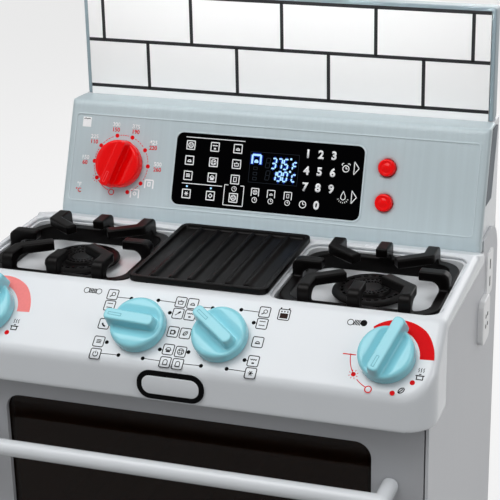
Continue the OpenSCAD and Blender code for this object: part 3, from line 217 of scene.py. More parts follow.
# each finish is named for what the real piece is made of; a few, said below, carry painted shade or a painted
# highlight in their colour
mouldedSet = {
    # injection-moulded ABS, polished tool: a soft wide highlight and almost no grain
    "whiteAbs": ("#DFE3E7", dict(gloss=0.24, tone=0.02)),
    "trayAbs": ("#E2E5E8", dict(gloss=0.16, tone=0.03)),
    "bushAbs": ("#F6F7F8", dict(gloss=0.3)),
    "aquaAbs": ("#90D7E4", dict(gloss=0.11, tone=0.02, grit=0.4, relief=0.004)),
    "redAbs": ("#F60205", dict(gloss=0.12, tone=0.03, grit=0.4, relief=0.003, specular=0.26)),
    # ABS from a satin tool: the cabinet's highlights spread wide, and its sides show faint upright flow lines
    "panelAbs": ("#CDCFD3", dict(gloss=0.42, tone=0.035, blotch=7.0, relief=0.02, stretch=(1, 1, 0.05))),
    "bodyAbs": ("#BFC2C6", dict(gloss=0.45, tone=0.03, relief=0.02)),
    # the door's grey ABS taken a little darker than the real door: partly its own grey, partly painted shade for the
    # shadow under the band
    "doorGreyAndShade": ("#B2B4B8", dict(gloss=0.36, tone=0.03)),
    # a dark slate strip at the console's sides: painted shade for the recess between the console cover and the housing
    # behind it
    "slateGapShade": ("#4E5862", dict(gloss=0.5)),
    "boxAbs": ("#202124", dict(gloss=0.5)),
    # black and brown ABS, spark-eroded tool: dull, with a fine even grain
    "blackAbs": ("#050303", dict(gloss=0.34, tone=0.15, grit=0.5, relief=0.02, specular=0.14)),
    "frameAbs": ("#121113", dict(gloss=0.5, tone=0.08, relief=0.03)),
    "linerAbs": ("#4A2A16", dict(gloss=0.5, tone=0.1, relief=0.03)),
    # not a material but painted shade: the near-black of the deep shadow behind a hole, where nothing of a surface
    # shows
    "holeShadeBlack": ("#0C0C0D", dict(gloss=0.8)),
    # lacquer sprayed on ABS: a broken highlight, drawn out along fine brush marks
    "consolePaint": (
        "#BCCACF", dict(gloss=0.34, tone=0.06, blotch=2.4, grit=0.5, relief=0.01, stretch=(1, 0.03, 0.03))
    ),
    "splashPaint": ("#93A5AD", dict(gloss=0.36, tone=0.03, blotch=12.0, grit=0.5, relief=0.01, stretch=(0.06, 1, 1))),
    # a paler tint of the console lacquer for the bead and the lens lip: a painted highlight for the light caught along
    # their edges
    "beadHighlightPaint": ("#CBD8DD", dict(gloss=0.25, tone=0.03)),
    # glossy polystyrene sheet: clear reflections with a slow ripple
    "tileStyrene": ("#FFFFFF", dict(gloss=0.12, tone=0.015, blotch=28.0, grit=3.0, relief=0.03)),
    # matt enamel wiped into the tile sheet's grooves: no highlight at all
    "groutEnamel": ("#17171A", dict(gloss=0.7, tone=0.15, blotch=4.0, grit=0.3, relief=0.05)),
    # back-printed acrylic: an even deep black that mirrors only faintly
    "lensAcrylic": ("#000001", dict(gloss=0.08, tone=0.05, relief=0.002, specular=0.04)),
    # rubber and silicone: matt, with a soft tooth
    "rubber": ("#2A2A2C", dict(gloss=0.75, tone=0.1, grit=0.6, relief=0.06)),
    "padSilicone": ("#7B8086", dict(gloss=0.6)),
    # epoxy laminate under solder mask: small cloudy shifts of green
    "boardLaminate": ("#1F5A3C", dict(gloss=0.3, tone=0.1, blotch=3.0)),
    # PVC sleeve shrunk on a cell: glossy, with streaks round the cell
    "cellVinyl": ("#2F5C9E", dict(gloss=0.2, tone=0.06, stretch=(0.1, 1, 1))),
    # pressed paper cone: dull and fibrous
    "speakerPaper": ("#3E4044", dict(gloss=0.8, tone=0.12, grit=0.8, relief=0.1)),
}
# nickel, chrome and zinc plate on drawn steel: clear dark and bright bands with a fine drawn grain
metalSet = {
    "chromeRod": ("#C9CCD0", 0.16), "screwSteel": ("#A7ABB0", 0.3), "pinSteel": ("#9A9EA4", 0.22),
    "contactNickel": ("#C4C6C4", 0.28),
}
# an amber acrylic lens, and liquid crystal with a blue light behind, which glow: colour, strength and ground
litSet = {
    "lampAcrylic": ("#FF9A3C", 5.0, "#C46A20"),
    "lcdBlue": ("#A9D6FF", 1.25, "#203860"),
    "lcdGlow": ("#0A3CC8", 0.55, "#010204"),
    "lcdFaint": ("#2A3038", 0.5, "#010204"),
}
# screen ink: flat and matt, with hardly a highlight; the two slot colours use the same finish but are painted light on
# the knobs' tops, a darker aqua for painted shade in the slot and a lighter rose for a painted highlight on its edges
inkSet = {
    "inkDark": "#060607", "inkRed": "#DE0A12", "inkPink": "#F88C8A", "inkBrown": "#2E1F1B", "inkWhite": "#F6F7F8",
    "slotShadeAqua": "#5FA9B8", "slotHighlightRose": "#FF5A5E",
}
finishes = {name: moulded(name, code, **look) for name, (code, look) in mouldedSet.items()}
finishes |= {name: metal(name, *look) for name, look in metalSet.items()}
finishes |= {name: lit(name, *look) for name, look in litSet.items()}
finishes |= {name: ink(name, code) for name, code in inkSet.items()}
finishes["inkBorder"] = ink("inkBorder", "#010102", gloss=0.5)
# smoked polystyrene: brown, and clear enough to show the oven
finishes["windowStyrene"] = smoked("windowStyrene", "#5A3A24")

slotFinish = {
    "white_shell": "whiteAbs", "housing_white": "whiteAbs", "handle_white": "whiteAbs", "side_grey": "panelAbs",
    "body_grey": "bodyAbs", "door_grey": "doorGreyAndShade", "dark_frame": "frameAbs", "oven_dark": "linerAbs",
    "lamp_amber": "lampAcrylic", "rack_chrome": "chromeRod", "window_smoke": "windowStyrene",
    "screw_steel": "screwSteel", "pin_steel": "pinSteel", "rubber_dark": "rubber", "tray_grey": "trayAbs",
    "grate_black": "blackAbs", "knob_aqua": "aquaAbs", "knob_red": "redAbs", "bush_white": "bushAbs",
    "console_blue": "consolePaint", "slate_trim": "slateGapShade", "lens_black": "lensAcrylic",
    "board_green": "boardLaminate", "pad_grey": "padSilicone", "frame_blue": "splashPaint",
    "tile_white": "tileStyrene", "box_black": "boxAbs", "cell_blue": "cellVinyl", "contact_metal": "contactNickel",
    "speaker_grey": "speakerPaper",
}
ownFinish = {"kick_panel": "panelAbs", "speaker_pod": "bushAbs", "vent_plate": "bushAbs"}
slotOf = {part["node"]: part["material_slot"] for part in frame["record"]["subparts"]}
for name, slotName in slotOf.items():
    for slot in nodes[name].material_slots:
        slot.material = finishes[ownFinish.get(name, slotFinish[slotName])]
print("materials set on", len(slotOf), "nodes")


# a face's frame: x across, y up the slope and z out of the surface, in millimetres
consoleLean, fasciaLean, deckLean = radians(20.2), radians(48.1), radians(2.86)
consoleCrease = (0.0, 40.6, 307.6)
fasciaTop = (0.0, -83.1, 301.948)
deckMiddle = (0, 0, 306.9)


def faceFrame(origin, lean):
    up = Vector((0, sin(lean), cos(lean)))
    out = Vector((0, -cos(lean), sin(lean)))
    turn = Matrix((Vector((1, 0, 0)), up, out)).transposed().to_4x4()
    return plainFace @ moved(origin) @ turn


consoleFace = faceFrame(consoleCrease, consoleLean)
fasciaFace = faceFrame(fasciaTop, fasciaLean)
deckFace = plainFace @ moved(deckMiddle) @ Matrix.Rotation(deckLean, 4, "X")
standing = Matrix.Rotation(pi / 2, 4, "X")  # stands a flat drawing up to face the front


def finished(name, bm, finish, body="stove", smooth=None, place=None):
    # turns a bmesh in millimetres into a piece in its place
    if place is not None:
        bmesh.ops.transform(bm, matrix=place, verts=bm.verts)
    mesh = meshOf(name, bm)
    if smooth is not None:
        mesh.polygons.foreach_set("use_smooth", [True] * len(mesh.polygons))
        mesh.set_sharp_from_angle(angle=radians(smooth))
    piece = linked(name, mesh)
    mesh.materials.append(finishes[finish])
    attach(piece, body)
    return piece


def bar(bm, start, end, width):
    start, end = Vector(start), Vector(end)
    run = end - start
    middle = (start + end) / 2
    turn = Matrix.Rotation(atan2(run.y, run.x), 4, "Z")
    size = Matrix.Diagonal((run.length, width, 1, 1))
    move = moved((middle.x, middle.y, 0))
    bmesh.ops.create_grid(bm, x_segments=1, y_segments=1, size=0.5, matrix=move @ turn @ size)


def strokes(bm, points, width):
    for start, end in zip(points, points[1:]):
        bar(bm, start, end, width)


def dot(bm, at, radius, sides=16):
    bmesh.ops.create_circle(bm, cap_ends=True, radius=radius, segments=sides, matrix=moved((at[0], at[1], 0)))


def ring(bm, at, radius, width, start=0.0, sweep=360.0, steps=20):
    # an arc from start, clockwise from straight up
    whole = abs(sweep) >= 360
    angle = radians(90 - start)
    middle = Vector((at[0], at[1], 0))
    ray = Vector((cos(angle), sin(angle), 0))
    inner = bm.verts.new(middle + ray * (radius - width / 2))
    outer = bm.verts.new(middle + ray * (radius + width / 2))
    edge = bm.edges.new((inner, outer))
    bmesh.ops.spin(
        bm, geom=[inner, outer, edge], cent=middle, axis=(0, 0, 1), angle=-radians(sweep), steps=steps, use_merge=whole
    )


def boxLine(bm, at, size, width, tall=None):
    w, h = size / 2, (tall or size) / 2
    x, y = at
    corners = [(x - w, y - h), (x + w, y - h), (x + w, y + h), (x - w, y + h)]
    strokes(bm, corners + corners[:1], width)
    for corner in corners:
        dot(bm, corner, width / 2, 8)


def roundBox(bm, at, size, width, radius):
    half = size / 2 - radius
    for k in range(4):
        a = radians(90 * k)
        side, along = Vector((sin(a), cos(a))), Vector((cos(a), -sin(a)))
        middle = Vector(at) + side * size / 2
        bar(bm, middle - along * half, middle + along * half, width)
        ring(bm, Vector(at) + (side + along) * half, radius, width, 90 * k, 90, 4)


def heading(turn):  # a step of 1 at turn degrees, anticlockwise from three o'clock
    return Vector((cos(radians(turn)), sin(radians(turn))))


def rays(bm, at, low, high, width, first, step, count):
    for k in range(count):
        ray = heading(first + step * k)
        bar(bm, Vector(at) + ray * low, Vector(at) + ray * high, width)


def archLine(bm, left, right, low, high, width):  # a frame that is open below
    strokes(bm, [(left, low), (left, high), (right, high), (right, low)], width)


def letters(bm, words, at, size, bold):
    curve = bpy.data.curves.new("letters", "FONT")
    curve.body, curve.size, curve.offset = words, size, bold
    curve.align_x, curve.align_y, curve.resolution_u = "CENTER", "CENTER", 3
    holder = linked("letters", curve)
    mesh = shownMesh(holder)
    mesh.transform(moved((at[0], at[1], 0)))
    bm.from_mesh(mesh)
    bpy.data.objects.remove(holder)
    bpy.data.curves.remove(curve)
    bpy.data.meshes.remove(mesh)


def printed(name, bm, face, finish, thick=0.05, sink=0.0, body="stove"):
    # gives flat marks a thickness, on a face's surface
    bmesh.ops.recalc_face_normals(bm, faces=bm.faces)
    for mark in bm.faces:
        if mark.normal.z < 0:
            mark.normal_flip()
    bmesh.ops.solidify(bm, geom=list(bm.faces), thickness=thick)
    low = min(v.co.z for v in bm.verts)
    bmesh.ops.translate(bm, vec=(0, 0, -low - sink), verts=bm.verts)
    bmesh.ops.recalc_face_normals(bm, faces=bm.faces)
    return finished(name, bm, finish, body, place=face)


# small generic pictures, drawn from -1 to 1. An arc has a middle, radius, width, start, sweep and steps, a dot a
# middle and radius, a box a middle, width, height and line width, and a line a width and its points.
pictures = {
    "fan": [("arc", (0, 0), 0.75, 1, 0, 360, 14)] + [("dot", heading(45 + 90 * k) * 0.38, 0.2) for k in range(4)],
    "heat": [("line", 1, [((k / 3 - 1) * 0.7, y + 0.14 * (k % 2)) for k in range(7)]) for y in (-0.5, 0.5)],
    "bird": [("arc", (0.2, 0.15), 0.45, 1, 0, 360, 12), ("line", 1.4, [(-0.15, -0.25), (-0.65, -0.6)])],
    "fruit": [("arc", (0.5, 0.35), 0.95, 2.2, 185, 75, 8)],
    "strips": [("line", 1, [(-0.6, y), (0, y + 0.1), (0.6, y)]) for y in (-0.35, 0, 0.35)],
    "power": [("arc", (0, 0), 0.6, 1, 35, 290, 14), ("line", 1, [(0, 0.1), (0, 0.75)])],
    "pot": [
        ("box", (0, -0.2), 1.1, 0.7, 1), ("line", 1, [(-0.8, 0.18), (0.8, 0.18)]),
        ("line", 1, [(-0.2, 0.45), (0.2, 0.45)]),
    ],
    "knife": [("line", 1, [(-0.6, -0.5), (0.1, 0.1)]), ("line", 2.2, [(0, 0.05), (0.6, 0.55)])],
    "cup": [("box", (-0.1, -0.1), 0.9, 0.9, 1.4), ("arc", (0.4, -0.1), 0.28, 1, 0, 180, 6)],
    "leaf": [
        ("arc", (-0.3, 0.3), 0.8, 1, 80, 110, 8), ("arc", (0.3, -0.3), 0.8, 1, 260, 110, 8),
        ("line", 1, [(-0.5, -0.5), (0.3, 0.3)]),
    ],
    "pie": [
        ("arc", (0, -0.1), 0.6, 1, 270, 180, 8), ("line", 1, [(-0.75, -0.1), (0.75, -0.1)]),
        ("line", 2.4, [(-0.5, -0.45), (0.5, -0.45)]),
    ],
    "loaf": [
        ("arc", (0, 0.15), 0.5, 1, 270, 180, 8), ("line", 1, [(-0.5, 0.15), (-0.5, -0.6), (0.5, -0.6), (0.5, 0.15)])
    ],
    "clock": [
        ("arc", (0, 0), 0.75, 1, 0, 360, 14), ("line", 1, [(0, 0), (0, 0.5)]), ("line", 1, [(0, 0), (0.4, 0)])
    ],
    "grill": [
        ("line", 1, [((k / 3 - 1) * 0.75, 0.5 - 0.3 * (k % 2)) for k in range(7)]),
        ("line", 2, [(-0.3, -0.5), (0.3, -0.5)]),
    ],
    "star": [("line", 1, [heading(60 * k) * -0.6, heading(60 * k) * 0.6]) for k in range(3)],
    "spark": [("line", 1, [(-0.6, 0), (0, 0.6), (0.6, 0), (0, -0.6), (-0.6, 0)])],
    "dish": [("arc", (0, -0.3), 0.45, 1, 270, 180, 8), ("line", 1.4, [(-0.6, -0.35), (0.6, -0.35)])],
    "door": [("box", (0, 0), 0.8, 1.2, 1)],
}


def picture(bm, name, at, s, w):  # s: half its side, w: the width of its lines
    def spot(point):
        return (at[0] + point[0] * s, at[1] + point[1] * s)

    for kind, *how in pictures[name]:
        if kind == "line":
            strokes(bm, [spot(point) for point in how[1]], how[0] * w)
        elif kind == "arc":
            ring(bm, spot(how[0]), how[1] * s, how[2] * w, *how[3:])
        elif kind == "box":
            boxLine(bm, spot(how[0]), how[1] * s, how[3] * w, how[2] * s)
        else:
            dot(bm, spot(how[0]), how[1] * s, 8)


def standsFor(piece, name):
    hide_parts(name)


copySet = {"weld": 0.002, "flat": 0.5}  # millimetres and degrees within which triangles are joined up


def copied(name, face):  # a node's shape in millimetres on a face
    bm = bmesh.new()
    bm.from_mesh(nodes[name].data)
    bmesh.ops.transform(bm, matrix=face.inverted(), verts=bm.verts)
    bmesh.ops.remove_doubles(bm, verts=bm.verts, dist=copySet["weld"])
    bmesh.ops.dissolve_limit(bm, angle_limit=radians(copySet["flat"]), verts=bm.verts, edges=bm.edges)
    return bm


def cast(bm, grain, rounds):
    # one skin over all the solids in the bmesh; its edges and inner corners come out soft, as moulded ones do
    plain = meshOf("casting", bm)
    holder = linked("casting", plain)
    skin = holder.modifiers.new("skin", "REMESH")
    skin.mode, skin.voxel_size = "VOXEL", grain
    soft = holder.modifiers.new("soft", "SMOOTH")
    soft.factor, soft.iterations = 0.5, rounds
    made = shownMesh(holder)
    skinned = bmesh.new()
    skinned.from_mesh(made)
    bpy.data.objects.remove(holder)
    bpy.data.meshes.remove(plain)
    bpy.data.meshes.remove(made)
    return skinned


castSet = {
    # finish, size of the skin's faces in millimetres, how often it is smoothed, face and body
    "grate_left": ("blackAbs", 0.62, 5, deckFace, "stove"),
    "grate_right": ("blackAbs", 0.62, 5, deckFace, "stove"),
    "griddle": ("blackAbs", 0.66, 5, deckFace, "stove"),
    "console_front": ("consolePaint", 1.2, 5, consoleFace, "stove"),
    "backsplash_frame": ("splashPaint", 1.1, 4, plainFace, "stove"),
    "speaker_pod": ("bushAbs", 0.5, 4, plainFace, "stove"),
    "door_handle": ("whiteAbs", 0.8, 3, plainFace, "door"),
}

for name, (finish, grain, rounds, face, body) in castSet.items():
    skinned = cast(copied(name, face), grain, rounds)
    standsFor(finished(name + "_cast", skinned, finish, body, smooth=40, place=face), name)
print("grates, griddle, console and frame cast")


def rounded(bm, geom, offset, steps, kind="EDGES", clamp=True):
    bmesh.ops.bevel(
        bm, geom=geom, offset=offset, offset_type="OFFSET", segments=steps, profile=0.5, affect=kind, material=-1,
        clamp_overlap=clamp,
    )


def block(bm, wide, tall, low, high, corner, soft, shift=0.0):
    # a block with round corners and a soft top edge, each given as a radius and its steps
    size = Matrix.Diagonal((wide, tall, high - low, 1))
    bmesh.ops.create_cube(bm, size=1.0, matrix=moved((0, shift, (low + high) / 2)) @ size)
    rounded(bm, [e for e in bm.edges if abs(e.verts[0].co.z - e.verts[1].co.z) > 0.1], *corner)
    rounded(bm, [e for e in bm.edges if all(v.co.z > high - 0.01 for v in e.verts)], *soft)


deckSet = {
    "fold": 3.4, "foldSteps": 6, "foldZ": 269.56, "near": 12, "front": -100, "upright": 0.02, "slope": (0.6, 0.8),
    "backward": 0.01, "grain": 1.15, "rounds": 4,
}


def deckCasting(spec):
    # the fold between the sloping fascia and the upright band is rounded before the skin is made
    bm = copied("deck_shell", plainFace)
    fold = []
    for edge in bm.edges:
        ends = [v.co for v in edge.verts]
        near = all(abs(end.z - spec["foldZ"]) < spec["near"] for end in ends)
        if near and len(edge.link_faces) == 2 and min(end.y for end in ends) < spec["front"]:
            upright, slope = sorted(abs(f.normal.z) for f in edge.link_faces)
            outward = edge.is_convex and all(f.normal.y < spec["backward"] for f in edge.link_faces)
            if upright < spec["upright"] and spec["slope"][0] < slope < spec["slope"][1] and outward:
                fold.append(edge)
    rounded(bm, fold, spec["fold"], spec["foldSteps"], clamp=False)
    skinned = cast(bm, spec["grain"], spec["rounds"])
    standsFor(finished("deckCasting", skinned, "whiteAbs", smooth=50, place=plainFace), "deck_shell")


deckCasting(deckSet)
print("deck cast")


def revolved(bm, half, steps):
    # a solid from half its outline, given as radius and height from the axis below to the axis above
    ends = [bm.verts.new((x, 0, z)) for x, z in half]
    line = [bm.edges.new(pair) for pair in zip(ends, ends[1:])]
    whole = {"cent": (0, 0, 0), "axis": (0, 0, 1), "angle": radians(360), "use_merge": True}
    bmesh.ops.spin(bm, geom=ends + line, steps=steps, **whole)
    bmesh.ops.remove_doubles(bm, verts=bm.verts, dist=0.001)
    bmesh.ops.recalc_face_normals(bm, faces=bm.faces)
    return bm


def quarter(x, z, radius, steps):  # points of a quarter round about x, z, from its side to its top
    turns = [pi / 2 * k / steps for k in range(steps + 1)]
    return [(x + radius * cos(turn), z + radius * sin(turn)) for turn in turns]


aquaKnob = {
    "round": 16.5, "disc": 9.0, "lift": 0.4, "chamfer": 0.5, "waist": 0.4, "taper": 0.15, "rim": 2.4, "rimSteps": 4,
    "facets": 22, "steps": 96,
    # the dish: how deep it is beside the grip, where it ends, where it crests and how it falls off to the rim
    "scoop": 1.9, "beside": 0.6, "crest": 11.0, "fall": 0.55, "power": 1.6, "fadeFrom": 1.5, "fadeOver": 5,
    # the grip, with its sides' and its ends' draft
    "top": 14.5, "wide": 6.9, "foot": 0.42, "corner": 0.36, "cornerSteps": 5, "soft": 0.9, "softSteps": 3,
    "draft": 0.22, "endDraft": 0.9, "level": 0.15,
    "stem": 5.0, "deep": 8.5, "stemOverlap": 3, "stemSteps": 40, "grain": 0.38, "rounds": 7,
    # the long slot that marks the end to read, as shares of the grip's reach and in millimetres
    "markLong": 0.44, "markAt": 0.62, "markWide": 1.5, "markLine": 0.34, "markSink": 0.05, "markThick": 0.1,
    # the slot is not cut: its outline is laid on the grip in a darker aqua, painted shade for the groove
    "finish": "aquaAbs", "mark": "slotShadeAqua",
}
timerKnob = {
    **aquaKnob, "round": 16.6, "disc": 8.5, "top": 15.0, "wide": 6.6, "scoop": 0.8, "finish": "redAbs",
    # the timer's slot outline is a lighter rose, a painted highlight along the groove's edges
    "mark": "slotHighlightRose",
}


def knobDisc(bm, spec):
    # a disc whose face dips on both sides of the grip and rises to a crest near the rim
    r, h, rim, lift, chamfer = spec["round"], spec["disc"], spec["rim"], spec["lift"], spec["chamfer"]
    flat, facets = r - spec["taper"] - rim, spec["facets"]
    half = [(0, lift), (r / 2, lift), (r - chamfer, lift), (r, lift + chamfer), (r, h * spec["waist"])]
    half += quarter(flat, h - rim, rim, spec["rimSteps"])
    half += [(flat * (1 - k / facets), h) for k in range(1, facets + 1)]
    revolved(bm, half, spec["steps"])
    inner, crest = spec["wide"] / 2 + spec["beside"], spec["crest"]
    for vert in bm.verts:
        across = abs(vert.co.x)
        if vert.co.z > h - rim + 0.01:
            if across < crest:
                share = max(0.0, (across - inner) / (crest - inner))
                drop = spec["scoop"] * (1 - share * share * (3 - 2 * share))
            else:
                drop = spec["scoop"] * spec["fall"] * ((across - crest) / (r - crest)) ** spec["power"]
            fade = (r + spec["fadeFrom"] - vert.co.xy.length) / spec["fadeOver"]
            vert.co.z -= drop * min(1.0, max(0.0, fade))


def knobGrip(bm, spec, reach, tail):
    # drafted sides, blunt ends and a soft top edge
    low, top, wide = spec["disc"] * spec["foot"], spec["top"], spec["wide"]
    corner, soft = (wide * spec["corner"], spec["cornerSteps"]), (spec["soft"], spec["softSteps"])
    block(bm, wide, reach + tail, low, top, corner, soft, (reach - tail) / 2)
    for vert in bm.verts:
        below = (top - vert.co.z) / (top - low)
        vert.co.x *= 1 + spec["draft"] * below
        vert.co.y += spec["endDraft"] * (below - spec["level"]) * (1 if vert.co.y > 0 else -1)


def knob(node, body, spec, face, at, grip, turn):
    reach, tail = grip
    bm = bmesh.new()
    knobGrip(bm, spec, reach, tail)
    solid = meshOf("grip", bm)
    bm = bmesh.new()
    knobDisc(bm, spec)
    bm.from_mesh(solid)
    bpy.data.meshes.remove(solid)
    deep, overlap = spec["deep"], spec["stemOverlap"]
    bmesh.ops.create_cone(
        bm, cap_ends=True, radius1=spec["stem"], radius2=spec["stem"], depth=deep + overlap,
        segments=spec["stemSteps"], matrix=moved((0, 0, (overlap - deep) / 2)),
    )
    place = face @ moved((*at, 0)) @ Matrix.Rotation(-radians(turn), 4, "Z")
    skinned = cast(bm, spec["grain"], spec["rounds"])
    standsFor(finished(node + "_grip", skinned, spec["finish"], body, smooth=50, place=place), node)
    # the slot outline laid on the grip's top; its colour is painted shade on the aqua knobs and a painted highlight on
    # the timer, for a groove that is not cut
    mark = bmesh.new()
    boxLine(mark, (0, reach * spec["markAt"]), spec["markWide"], spec["markLine"], reach * spec["markLong"])
    top = place @ moved((0, 0, spec["top"] - spec["markSink"]))
    marked = printed(node + "_paintedSlot", mark, top, spec["mark"], thick=spec["markThick"], body=body)


knobPlaces = {
    "burnerAcross": 124.7, "ovenAcross": 25.5, "down": -25.3, "timer": (-107.0, 29.7),
    # from each grip's middle to its marked end and to its tail
    "burnerGrip": (15.5, 20.0), "ovenGrip": (18.5, 12.5), "timerGrip": (17.0, 16.5),
    # each knob's turn at rest, clockwise from straight up, in degrees
    "burner_left": -162, "burner_right": -162, "oven_left": -87, "oven_right": -55, "timerTurn": -160,
}


def makeKnobs(spots):
    for kind in ("burner", "oven"):
        for side, way in (("left", -1), ("right", 1)):
            at = (way * spots[kind + "Across"], spots["down"])
            name, body, turn = f"{kind}_knob_{side}", f"knob_{kind}_{side}", spots[f"{kind}_{side}"]
            knob(name, body, aquaKnob, fasciaFace, at, spots[kind + "Grip"], turn)
    grip, turn = spots["timerGrip"], spots["timerTurn"]
    knob("timer_knob", "knob_timer", timerKnob, consoleFace, spots["timer"], grip, turn)


makeKnobs(knobPlaces)
print("knobs turned")

buttonSet = {
    "round": 5.8, "proud": 3.5, "dome": 0.5, "edge": 1.0, "flange": 7.4, "collar": 1.2, "low": -4.1, "stem": 2.0,
    # the fine groove round the dome: where it starts, how deep it is and where the dome begins
    "land": 0.5, "lip": 0.05, "groove": 2.2, "deep": 0.28, "inset": 2.7, "dip": 0.22, "steps": 5, "turns": 72,
    "x": 83.0, "rows": (42.4, 19.2),
}


def buttons(spec):
    r, top, low, stem = spec["round"], spec["proud"] - spec["dome"], spec["low"], spec["stem"]
    edge, flange, shelf, steps = spec["edge"], spec["flange"], low + spec["collar"], spec["steps"]
    crown, base = r - spec["inset"], top - spec["dip"]
    half = [(0, low - stem), (stem, low - stem), (stem, low), (flange, low), (flange, shelf), (r, shelf)]
    half += quarter(r - edge, top - edge, edge, steps)
    half += [(r - edge - spec["land"], top + spec["lip"]), (r - spec["groove"], top - spec["deep"]), (crown, base)]
    half += [(crown * (1 - k / steps), base + spec["dome"] * sin(pi / 2 * k / steps)) for k in range(1, steps + 1)]
    for node, body, t in zip(("button_upper", "button_lower"), ("button_top", "button_bottom"), spec["rows"]):
        place = consoleFace @ moved((spec["x"], t, 0))
        bm = revolved(bmesh.new(), half, spec["turns"])
        standsFor(finished(node + "_dome", bm, "redAbs", body, smooth=35, place=place), node)


buttons(buttonSet)

capSet = {
    "round": 24.0, "cup": 12.6, "x": 96.4, "y": -33.8, "low": -10.0,
    # the outline's points: how far in from the rim, then from the cup's edge, and how high
    "rim": [(1, 0), (0, 0.6), (0.2, 1.4), (1.4, 2.0), (4, 2.4), (5.2, 2.5), (7.0, 2.5)],
    "dish": [
        (-2.6, 2.3), (-1.2, 1.6), (0, 1.6), (0.7, 3.2), (1.6, 3.5), (3.2, 3.5), (4.6, 3.4), (6.2, 3.2), (7.8, 3.1),
        (9.4, 3.0),
    ],
    "middle": 2.9,
    # the dashed rings of pits, from radius to radius
    "rings": ((17.0, 18.8), (9.4, 11.0), (6.4, 8.0)), "holes": 24, "above": 2.2, "wall": 0.22, "deep": 0.9,
}


def burnerCaps(spec):
    r, cup, steps = spec["round"], spec["cup"], 3 * spec["holes"]
    half = [(0, 0)] + [(r - x, z) for x, z in spec["rim"]] + [(cup - x, z) for x, z in spec["dish"]]
    half += [(0, spec["middle"])]
    for side, way in (("left", -1), ("right", 1)):
        bm = revolved(bmesh.new(), half, steps)
        dashes = []
        for face in bm.faces:
            middle = face.calc_center_median()
            turn = int(round((degrees(atan2(middle.y, middle.x)) % 360) / (360 / steps) - 0.5))
            inRing = any(low < middle.xy.length < high for low, high in spec["rings"])
            if middle.z > spec["above"] and turn % 3 and inRing:
                dashes.append(face)
        bmesh.ops.inset_region(bm, faces=dashes, thickness=spec["wall"], depth=0)
        bmesh.ops.translate(bm, vec=(0, 0, -spec["deep"]), verts=list({v for f in dashes for v in f.verts}))
        place = deckFace @ moved((way * spec["x"], spec["y"], spec["low"]))
        name = "burner_cap_" + side
        standsFor(finished(name + "_pierced", bm, "blackAbs", smooth=35, place=place), name)


burnerCaps(capSet)
print("buttons and burner caps turned")

plateSet = {
    "wide": 41.6, "tall": 17.6, "round": 8.2, "roundSteps": 10, "soft": 0.3, "softSteps": 3, "border": 3.1,
    "lip": 0.2, "pocket": 0.35, "low": -0.6, "proud": 1.1, "fieldLow": 0.1, "fieldProud": 1.0,
    "place": (0, -119.2, 258.4),
}


def bandPlate(spec):
    # a plain oval plate: a black raised border round a bare white field
    place = plainFace @ moved(spec["place"]) @ standing
    for name, shrink, low, high, finish in (
        ("bandPlateBorder", 0.0, spec["low"], spec["proud"], "inkBorder"),
        ("bandPlateField", spec["border"], spec["fieldLow"], spec["fieldProud"], "whiteAbs"),
    ):
        bm = bmesh.new()
        corner, soft = (spec["round"] - shrink, spec["roundSteps"]), (spec["soft"], spec["softSteps"])
        block(bm, spec["wide"] - 2 * shrink, spec["tall"] - 2 * shrink, low, high, corner, soft)
        if shrink == 0.0:
            face = max(bm.faces, key=lambda f: f.calc_center_median().z + f.calc_area() * 0.001)
            bmesh.ops.inset_region(bm, faces=[face], thickness=spec["border"] - spec["lip"], depth=0)
            bmesh.ops.translate(bm, vec=(0, 0, -spec["pocket"]), verts=face.verts)
        finished(name, bm, finish, smooth=35, place=place)


bandPlate(plateSet)
print("band plate set")

fasciaPrintSet = {
    # a frame's side and corners, a picture's share of it, a line's width, a picture's line as a share of that
    "icon": 6.5, "iconRound": 0.9, "picture": 0.78, "line": 0.55, "thin": 0.85,
    "leader": 0.42, "dot": 1.2, "knobX": 124.7, "knobY": -25.3,
}


